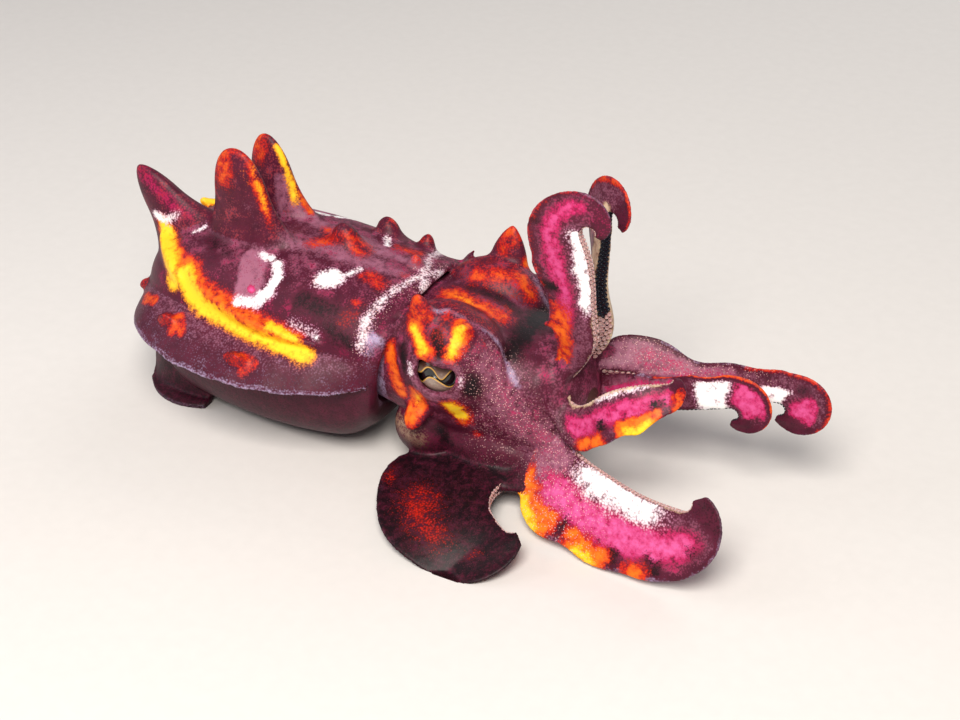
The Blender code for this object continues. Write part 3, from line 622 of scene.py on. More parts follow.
def funnel_rings(shrink, stretch, sides=60, count=40):
    path = smooth_through((0, 0.5, 1), FUNNEL_PATH)
    radius = smooth_through((0, 0.5, 1), FUNNEL_RADII)
    angle = circle_angles(sides)
    rings = []
    for share in np.linspace(0, 1, count):
        centre = path(share)
        size = float(radius(share)) - shrink
        x = centre[0] + (stretch if share == 1 else 0)
        across = size * FUNNEL_WIDENING * np.cos(angle)
        rings.append(np.stack((np.full(sides, x), across, centre[2] + size * np.sin(angle)), 1))
    return rings


def make_funnel():
    funnel = shell("funnel", funnel_rings(0.0, 0.0))
    bore = funnel_rings(FUNNEL_WALL, 2.0)
    bore[0][:, 0] += 6.0
    cut(funnel, [shell("cutter", bore[8:], keep=False)])


def fin_root(x):
    return mantle_ring(x, np.array(math.radians(FIN_ANGLE)))


def fin_point(share, level, rise):
    """A point above the middle of the fin's blade, at a share of its width."""
    x = FIN_START + (FIN_END - FIN_START) * share
    root, before, after = fin_root(x), fin_root(max(x - 1, MANTLE_REAR + 0.5)), fin_root(x + 1)
    run = unit(after - before)
    out = unit(np.array((-run[1], run[0], 0)))
    reach = FIN_REACH * math.sin(math.pi * min(max(share ** 0.8, 0.03), 0.98)) ** 0.6
    reach *= FIN_REAR_SHARE + (1 - FIN_REAR_SHARE) * min(share / 0.35, 1)
    point = root - out * FIN_SUNK + out * ((reach + FIN_SUNK) * level)
    ruffle = FIN_RUFFLE * math.sin(2 * math.pi * x / FIN_RUFFLE_LENGTH) * level ** 2
    return point + (0, 0, rise + ruffle - FIN_DROOP * level ** 1.6)


def make_fin(side, count=170, levels=26):
    rings = []
    level = np.linspace(0, 1, levels)
    for share in np.linspace(0, 1, count):
        half = (FIN_ROOT_THICKNESS + (FIN_EDGE_THICKNESS - FIN_ROOT_THICKNESS) * level) / 2
        half[-1] *= 0.4
        top = [fin_point(share, a, h) for a, h in zip(level, half)]
        low = [fin_point(share, a, -h) for a, h in zip(level, half)]
        rings.append(flipped(top + low[::-1], side))
    shell("fin", rings, None, np.concatenate((level, level[::-1])))
    for x, reach, height, length in FIN_PAPILLAE:
        share = (x - FIN_START) / (FIN_END - FIN_START)
        foot = flipped(fin_point(share, reach, 0.0), side)
        tip = flipped(fin_point(share, reach + 0.12, height), side)
        papilla(foot, tip, length, FIN_PAPILLA_THICKNESS, 0.2, 0.0, "fin_papilla")


def flap_rings(side, count=70):
    """Sections of a walking flap, from its root in the belly out to its edge on the floor."""
    thirds = (0, 0.33, 0.66, 1)
    path = smooth_through(thirds, FLAP_PATH)
    at = np.linspace(0, 1, FLAP_LEVELS)
    half = FLAP_THICKNESS / 2
    rings = []
    for share in np.linspace(0, 1, count):
        x, y, z = path(share)
        out = FLAP_FLARE * (0.45 + 0.55 * math.sin(math.pi * (0.08 + 0.84 * share)) ** 0.7)
        inner = (
            (y - half, z + FLAP_SUNK),
            (y - half * 0.9 + out * 0.1, z * 0.65),
            (y - half + out * 0.35, 0.0),
            (y + out * 0.98 + 0.4, 0.0),
        )
        outer = (
            (y + half, z + FLAP_SUNK),
            (y + half * 1.1 + out * 0.2, z * 0.55),
            (y + half + out * 0.45, FLAP_THICKNESS * 0.9),
            (y + out + 0.4, FLAP_THICKNESS * 0.45),
        )
        faces = (smooth_through(thirds, inner)(at), smooth_through(thirds, outer)(at)[::-1])
        line = np.vstack(faces)
        ring = np.column_stack((np.full(len(line), x), line * (side, 1)))
        ring[:, 2] = np.maximum(ring[:, 2], 0)
        rings.append(ring)
    return rings


def make_flap(side):
    level = np.linspace(0, 1, FLAP_LEVELS)
    shell("flap", flap_rings(side), None, np.concatenate((level, level[::-1])))


# Arms

# The ring that the arms leave: its radius, the depth of an arm there, and how far a root
# runs behind it and before it
CROWN_INNER_RADIUS = 6.2
CROWN_BLADE = 6.4
ROOT_BEHIND = 2.0
ROOT_BEFORE = 2.2
ARM_THICKNESS = 4.4
ARM_TIP_THICKNESS = 1.1
KEEL_LEAST = 0.3
KEEL_WAVE = 0.35
# Half thickness of a blade as a share of its thickest, from sucker face to keel
BLADE_LEVELS = (0.0, 0.14, 0.4, 0.74, 1.0)
BLADE_WIDTHS = (0.8, 1.0, 0.85, 0.36, 0.12)
blade_width = smooth_through(BLADE_LEVELS, BLADE_WIDTHS)
# Each arm: points of its sucker line and of its keel edge after the crown, then the curl
# of its tip as radius, turn in degrees, keel depth at the very tip and swell of the keel
ARM_PLAN = {
    "arm_1_right": (
        ((97.6, -4.6, 31.0), (99.2, -5.8, 40.0), (98.2, -6.0, 51.0), (96.0, -6.0, 57.0)),
        ((89.6, -5.2, 31.0), (90.0, -6.4, 41.0), (87.2, -6.6, 47.6), (85.0, -6.6, 54.4)),
        (1.6, 235.0, 1.2, 0.0),
    ),
    "arm_1_left": (
        ((96.2, 4.0, 29.0), (95.8, 5.0, 37.5), (95.4, 5.8, 46.0), (95.8, 6.4, 55.0)),
        ((92.6, 10.0, 28.5), (90.8, 12.8, 36.0), (89.4, 13.4, 46.0), (89.8, 10.0, 57.0)),
        (1.8, 215.0, 1.6, 1.6),
    ),
    "arm_2_right": (
        ((98.6, -7.6, 21.8), (103.4, -8.6, 26.6), (109.0, -8.2, 30.2), (114.0, -5.6, 30.6)),
        ((98.8, -13.0, 15.1), (106.0, -14.0, 19.8), (112.8, -12.6, 24.0), (118.0, -8.6, 27.2)),
        (1.3, 95.0, 1.2, 0.0),
    ),
    "arm_2_left": (
        ((101.0, 9.6, 20.6), (110.0, 12.6, 19.2), (120.0, 13.2, 19.8), (129.6, 13.4, 20.6)),
        ((99.6, 12.8, 27.4), (110.0, 14.4, 24.4), (120.5, 14.6, 25.4), (129.8, 14.6, 26.8)),
        (1.4, 205.0, 1.4, 5.0),
    ),
    "arm_3_right": (
        ((98.0, -10.6, 14.4), (106.0, -15.0, 14.2), (116.0, -18.4, 14.2), (124.0, -20.0, 15.0)),
        ((91.0, -18.8, 4.4), (98.2, -22.5, 1.6), (110.0, -24.4, 0.6), (120.2, -24.2, 2.0)),
        (2.0, 120.0, 3.0, 0.0),
    ),
    "arm_3_left": (
        ((98.6, 5.8, 14.4), (106.0, 6.8, 15.6), (114.6, 7.4, 18.0), (122.0, 7.8, 20.4)),
        ((99.4, 10.8, 17.4), (107.6, 8.8, 22.6), (116.0, 8.4, 25.2), (123.4, 8.8, 27.6)),
        (1.4, 215.0, 1.4, 2.6),
    ),
    "arm_4_right": (
        ((92.0, -8.0, 6.4), (89.8, -11.6, 6.0), (86.8, -15.4, 5.4), (86.0, -20.2, 5.2),
         (87.8, -25.0, 5.2), (92.5, -28.6, 5.0)),
        ((84.0, -11.0, 3.2), (74.0, -15.4, 4.0), (65.0, -20.0, 5.0), (63.8, -27.6, 4.8),
         (69.8, -34.6, 2.8), (78.6, -36.8, -1.2)),
        (2.6, 75.0, 3.0, 0.0),
    ),
    "arm_4_left": (
        ((92.5, 7.6, 6.6), (90.0, 11.0, 6.2), (87.2, 14.6, 5.6), (85.8, 18.8, 5.4),
         (86.8, 22.8, 5.2), (91.0, 25.5, 5.0)),
        ((84.6, 11.0, 3.4), (75.6, 15.0, 4.4), (67.4, 18.6, 5.2), (66.4, 24.8, 4.8),
         (72.4, 31.2, 2.8), (81.0, 33.4, -1.5)),
        (3.0, 70.0, 3.0, 0.0),
    ),
}
# Where each pair of arms leaves the crown, in degrees from the top
CROWN_ANGLES = {"1": 23.0, "2": 68.0, "3": 113.0, "4": 157.0}
ARM_STEPS = 39
CURL_STEPS = 27
# Radius at the start and end of a curled tip, as shares of its middle radius
CURL_OPENS = 1.25
CURL_CLOSES = 0.6


def steps_along(path):
    """Distance from the start of a path to each of its points."""
    return np.concatenate(([0], np.cumsum(np.linalg.norm(np.diff(path, axis=0), axis=1))))


def frame_along(path, keel):
    """Tangent, keel and side directions at every point of a path."""
    tangent = unit(np.gradient(path, axis=0))
    keel = unit(keel - np.sum(keel * tangent, axis=1, keepdims=True) * tangent)
    return tangent, keel, np.cross(tangent, keel)


def arm_lines(name):
    """Sucker line, keel and side directions, depth and share of the length of an arm."""
    oral, keel, (curl_radius, curl_turn, tip_depth, swell) = ARM_PLAN[name]
    side = 1 if name.endswith("left") else -1
    angle = math.radians(CROWN_ANGLES[name[4]])
    outward = np.array((0.0, side * math.sin(angle), math.cos(angle)))
    root = CROWN_CENTRE + CROWN_INNER_RADIUS * outward
    start = [root - (ROOT_BEHIND, 0, 0), root + (ROOT_BEFORE, 0, 0)]
    oral = np.array(start + list(oral))
    keel = np.array([point + CROWN_BLADE * outward for point in start] + list(keel))
    at = steps_along((oral + keel) / 2)
    lines = smooth_through(at, np.hstack((oral, keel)))(np.linspace(0, at[-1], ARM_STEPS))
    path, blade = lines[:, :3], lines[:, 3:] - lines[:, :3]
    tangent, across, _ = frame_along(path, blade)
    depth = np.sum(blade * across, axis=1)
    # The tip turns towards the suckers, round an ever tighter curve
    turn = math.radians(curl_turn)
    radius = np.linspace(curl_radius * CURL_OPENS, curl_radius * CURL_CLOSES, CURL_STEPS)
    bend = np.cumsum(np.full(CURL_STEPS, turn / CURL_STEPS))[:, None]
    heading = tangent[-1] * np.cos(bend) - across[-1] * np.sin(bend)
    keel_turned = across[-1] * np.cos(bend) + tangent[-1] * np.sin(bend)
    curl = path[-1] + np.cumsum(heading * (radius * turn / CURL_STEPS)[:, None], axis=0)
    fade = np.linspace(0, 1, CURL_STEPS + 1)[1:]
    curl_depth = depth[-1] * (1 - fade) ** 1.1 + tip_depth * fade
    curl_depth += swell * np.sin(math.pi * fade ** 0.7) ** 3
    path = np.vstack((path, curl))
    across = np.vstack((across, keel_turned))
    depth = np.concatenate((depth, curl_depth))
    travel = steps_along(path + across * (depth * 0.5)[:, None])
    _, across, sideways = frame_along(path, across)
    return path, across, sideways, depth, travel / travel[-1]


def arm_thickness(share):
    return ARM_TIP_THICKNESS + (ARM_THICKNESS - ARM_TIP_THICKNESS) * (1 - share) ** 0.75


def along_arm(lines, share):
    """Sucker-line point, keel and side directions and depth at a share of the length."""
    *directions, depth, travel = lines
    values = []
    for line in directions:
        values.append(np.array([np.interp(share, travel, line[:, i]) for i in range(3)]))
    return *values, float(np.interp(share, travel, depth))


# The sucker face: places across it, its share of the arm's width, and its raised margin and
# dip as shares of the arm's thickness
FACE_ACROSS = np.linspace(-1, 1, 17)
FACE_WIDTH = 0.8
MARGIN_RISE = 0.1
FACE_DIP = 0.12


def make_arm(name, count=150):
    lines = arm_lines(name)
    sides = np.linspace(0.03, 0.985, 30)
    rings = []
    for share in np.linspace(0, 1, count):
        point, keel, aside, depth = along_arm(lines, share)
        thick = arm_thickness(share)
        wave = KEEL_WAVE * math.sin(share * 31.0 + len(name)) * math.sin(math.pi * share)
        depth = depth + wave * min(depth / 8, 1)
        wide = np.maximum(blade_width(sides) * thick / 2, KEEL_LEAST)
        flat = FACE_ACROSS * FACE_WIDTH * thick / 2
        rise = thick * (MARGIN_RISE * np.abs(FACE_ACROSS) ** 6 - FACE_DIP * (1 - FACE_ACROSS ** 2))
        face = point + np.outer(flat, aside) - np.outer(rise, keel)
        blade = point + np.outer(sides * depth, keel)
        beside = np.outer(wide, aside)
        ring = np.vstack((face, blade + beside, [point + keel * depth], (blade - beside)[::-1]))
        ring[:, 2] = np.maximum(ring[:, 2], 0)
        rings.append(ring)
    face_level = -0.15 * (1 - np.abs(FACE_ACROSS))
    shell(name, rings, None, np.concatenate((face_level, sides, [1.0], sides[::-1])))
    return lines


# The trunk of the crown, and the webs: how far along the arms each one lies and its radius
TRUNK_CENTRE = (88.0, 0.0, 17.8)
TRUNK_RADII = (9.0, 12.4, 12.6)
WEBS = ((0.03, 3.0), (0.07, 2.6), (0.11, 2.1), (0.15, 1.6))
# Skin stretched between two arms: each arm, the level of it that is joined, and from and to
# along it
SHEETS = (
    (("arm_2_left", 0.2, 0.12, 0.52), ("arm_3_left", 0.8, 0.1, 0.5)),
    # The sheets between the fourth and third arms fill gaps that were only shade; the low painted
    # shade of the head and webs makes them dark
    (("arm_4_right", 0.1, 0.14, 0.46), ("arm_3_right", 0.85, 0.08, 0.2)),
    (("arm_4_left", 0.1, 0.14, 0.3), ("arm_3_left", 0.2, 0.06, 0.16)),
)
SHEET_RADIUS = 1.1
SHEET_STRANDS = 22
# How far a web hangs back from the line between two arms
WEB_SLACK = 0.8
RING_OF_ARMS = (
    "arm_1_right", "arm_2_right", "arm_3_right", "arm_4_right",
    "arm_4_left", "arm_3_left", "arm_2_left", "arm_1_left",
)


def on_arm(name, level, start, stop, share):
    """A point on an arm at a level of its depth, a share of the way along a stretch of it."""
    point, keel, _, depth = along_arm(arms[name], start + (stop - start) * share)
    return point + keel * depth * level


def make_crown():
    """The short trunk that the arms leave from, and the skin that webs them together."""
    ellipsoid("web", TRUNK_CENTRE, TRUNK_RADII)
    for share, radius in WEBS:
        places = []
        for name in RING_OF_ARMS:
            point, keel, _, depth = along_arm(arms[name], share)
            places.append(point + keel * depth * 0.45)
        for a, b in zip(places, places[1:] + places[:1]):
            middle = (a + b) / 2 - (WEB_SLACK, 0, 0)
            fold("web", (a, middle, b), radius, 0.9, 16, 24)
    for joined in SHEETS:
        for share in np.linspace(0, 1, SHEET_STRANDS):
            a, b = [on_arm(*held, share) for held in joined]
            middle = (a + b) / 2 - (WEB_SLACK, 0, WEB_SLACK / 2)
            fold("web", (a, middle, b), SHEET_RADIUS * (1.2 - 0.5 * share), 0.9, 12, 20)


# Everything soft, made on both sides

make_mantle()
make_head()
make_funnel()
for side in (1, -1):
    make_fin(side)
    make_flap(side)
arms = {name: make_arm(name) for name in ARM_PLAN}
make_crown()

# One skin over it all

VOXEL = 0.27
# Passes of smoothing everywhere and where two parts grow together, and how many rings of
# points the second smoothing spreads over; it leaves the lids out
SMOOTH_ALL = 3
SMOOTH_JOINS = 44
JOIN_RINGS = 12


def as_one(pieces):
    """Points and faces of several pieces as one."""
    points, faces, start = [], [], 0
    for some_points, some_faces in pieces:
        points.append(some_points)
        faces.append(np.asarray(some_faces) + start)
        start += len(some_points)
    return np.vstack(points), np.vstack(faces)


def melted():
    """One mesh object over all the shells, in working millimetres."""
    pieces = [made.get("solid", (made["points"], made["faces"])) for made in shells]
    skin = mesh_object("skin", *as_one(pieces))
    change = skin.modifiers.new("melt", "REMESH")
    change.mode = "VOXEL"
    change.voxel_size = VOXEL
    change.adaptivity = 0
    return applied(skin)


def edges_of(made):
    """The two points that each edge of an object joins."""
    ends = np.empty(len(made.data.edges) * 2, np.int32)
    made.data.edges.foreach_get("vertices", ends)
    return ends.reshape(-1, 2)


def where_from(points):
    """Part, share along and share across of each point, from the nearest shell point."""
    all_points = np.vstack([made["points"] for made in shells])
    part = np.concatenate([np.full(len(made["points"]), made["part"]) for made in shells])
    along = np.concatenate([made["u"] for made in shells])
    across = np.concatenate([made["v"] for made in shells])
    tree = KDTree(len(all_points))
    for i, point in enumerate(all_points.tolist()):
        tree.insert(point, i)
    tree.balance()
    nearest = np.array([tree.find(point)[1] for point in points.tolist()])
    return part[nearest], along[nearest], across[nearest]


def averaged(values, ends, degree):
    """Mean of the neighbours of every point."""
    total = np.zeros_like(values)
    for a, b in ((0, 1), (1, 0)):
        for i in range(values.shape[1]):
            total[:, i] += np.bincount(ends[:, a], values[ends[:, b], i], len(values))
    return total / degree[:, None]


def grain(points, size, seed):
    """Smooth noise between -1 and 1 whose swells are about size across. Each corner of a
    grid cell takes its value from a scramble of the cell's numbers, the same every run."""
    at = points / size + seed * 17.31
    cell = np.floor(at).astype(np.int64)
    share = at - cell
    share = share ** 3 * (share * (share * 6 - 15) + 10)
    total = np.zeros(len(points))
    for corner in range(8):
        step = np.array((corner & 1, corner >> 1 & 1, corner >> 2 & 1))
        here = cell + step
        code = (here[:, 0] * 73856093 ^ here[:, 1] * 19349663 ^ here[:, 2] * 83492791) + seed * 7919
        code = (code ^ code >> 13) * 1274126177 & 0xFFFFFFFF
        weight = np.prod(np.where(step, share, 1 - share), axis=1)
        total += weight * ((code ^ code >> 16) % 65536 / 32768 - 1)
    return total


def near_joins(part, ends):
    """Which points lie near a join of two parts, and how near, from 0 far off to 1 at it."""
    lid = PARTS.index("lid")
    differ = part[ends[:, 0]] != part[ends[:, 1]]
    by_lid = np.any(part[ends] == lid, axis=1)
    reached = np.zeros(len(part), bool)
    reached[ends[differ & ~by_lid].ravel()] = True
    near = reached / JOIN_RINGS
    for _ in range(JOIN_RINGS - 1):
        for a, b in ((0, 1), (1, 0)):
            reached[ends[reached[ends[:, a]], b]] = True
        near += reached / JOIN_RINGS
    return reached, near * (part != lid)


def smoothed(points, part, ends):
    """The skin's points, smoothed a little all over and more where two parts grow together."""
    degree = np.maximum(np.bincount(ends.ravel(), minlength=len(points)), 1)
    for _ in range(SMOOTH_ALL):
        points = points + (averaged(points, ends, degree) - points) * 0.5
    reached, near = near_joins(part, ends)
    joined = np.flatnonzero(reached)
    order = np.full(len(points), -1)
    order[joined] = np.arange(len(joined))
    inner_ends = order[ends[np.all(reached[ends], axis=1)]]
    inner_degree = np.maximum(np.bincount(inner_ends.ravel(), minlength=len(joined)), 1)
    whole_ring = inner_degree == degree[joined]
    weight = (ramp(near[joined], 0, 1) * whole_ring * 0.5)[:, None]
    moving = points[joined]
    for _ in range(SMOOTH_JOINS):
        moving = moving + (averaged(moving, inner_ends, inner_degree) - moving) * weight
    points[joined] = moving
    return points


skin = melted()
points = points_of(skin)
part, along, across = where_from(points)
points = smoothed(points, part, edges_of(skin))

# Pigments, the dark one also carrying painted shade: how strongly each point of the skin carries each
# colour, from 0 to 1

PIGMENTS = ("mauve", "lavender", "rose", "cream", "dark", "fire", "yellow", "white", "sparkle")
paint = {name: np.zeros(len(points)) for name in PIGMENTS}
# How far each point strays from an even edge, in swells of 2.2 and 0.9 mm
ragged = 0.45 * grain(points, 2.2, 3) + 0.2 * grain(points, 0.9, 4)


def lay(pigment, amount):
    """Pigment over the whole skin, kept where there is more already."""
    paint[pigment] = np.maximum(paint[pigment], amount)


def streak(pigment, radius, places, strength=1.0, soft=0.75, sides=(1, -1)):
    """A streak of pigment along places on the right side, and its like on the left."""
    blur = radius * soft + 0.3
    for side in sides:
        line = flipped(places, side)
        reach = radius + blur + 1
        inside = (points > line.min(axis=0) - reach) & (points < line.max(axis=0) + reach)
        near = np.flatnonzero(np.all(inside, axis=1))
        if not len(near):
            continue
        here = points[near]
        away = np.linalg.norm(here - line[0], axis=1)
        for a, b in zip(line, line[1:]):
            run = b - a
            share = np.clip((here - a) @ run / (run @ run), 0, 1)
            away = np.minimum(away, np.linalg.norm(here - a - share[:, None] * run, axis=1))
        amount = 1 - ramp(away + ragged[near] * min(radius * 0.5, 0.9), radius - blur, radius + blur)
        paint[pigment][near] = np.maximum(paint[pigment][near], amount * strength)


def window(values, low, high, soft):
    """1 between low and high and 0 outside them, with soft edges."""
    return ramp(values, low - soft, low + soft) * (1 - ramp(values, high - soft, high + soft))


def band(arm, pigment, from_u, to_u, from_v, to_v, strength=1.0, soft=1.0):
    """Pigment on part of an arm: shares of its length, and from sucker face 0 to keel 1."""
    here = np.flatnonzero(part == PARTS.index(arm))
    u = along[here] + ragged[here] * 0.025
    v = across[here] + ragged[here] * 0.12
    amount = window(u, from_u, to_u, 0.03 * soft) * window(v, from_v, to_v, 0.1 * soft) * strength
    paint[pigment][here] = np.maximum(paint[pigment][here], amount)


def is_part(*names):
    return np.isin(part, [PARTS.index(name) for name in names])


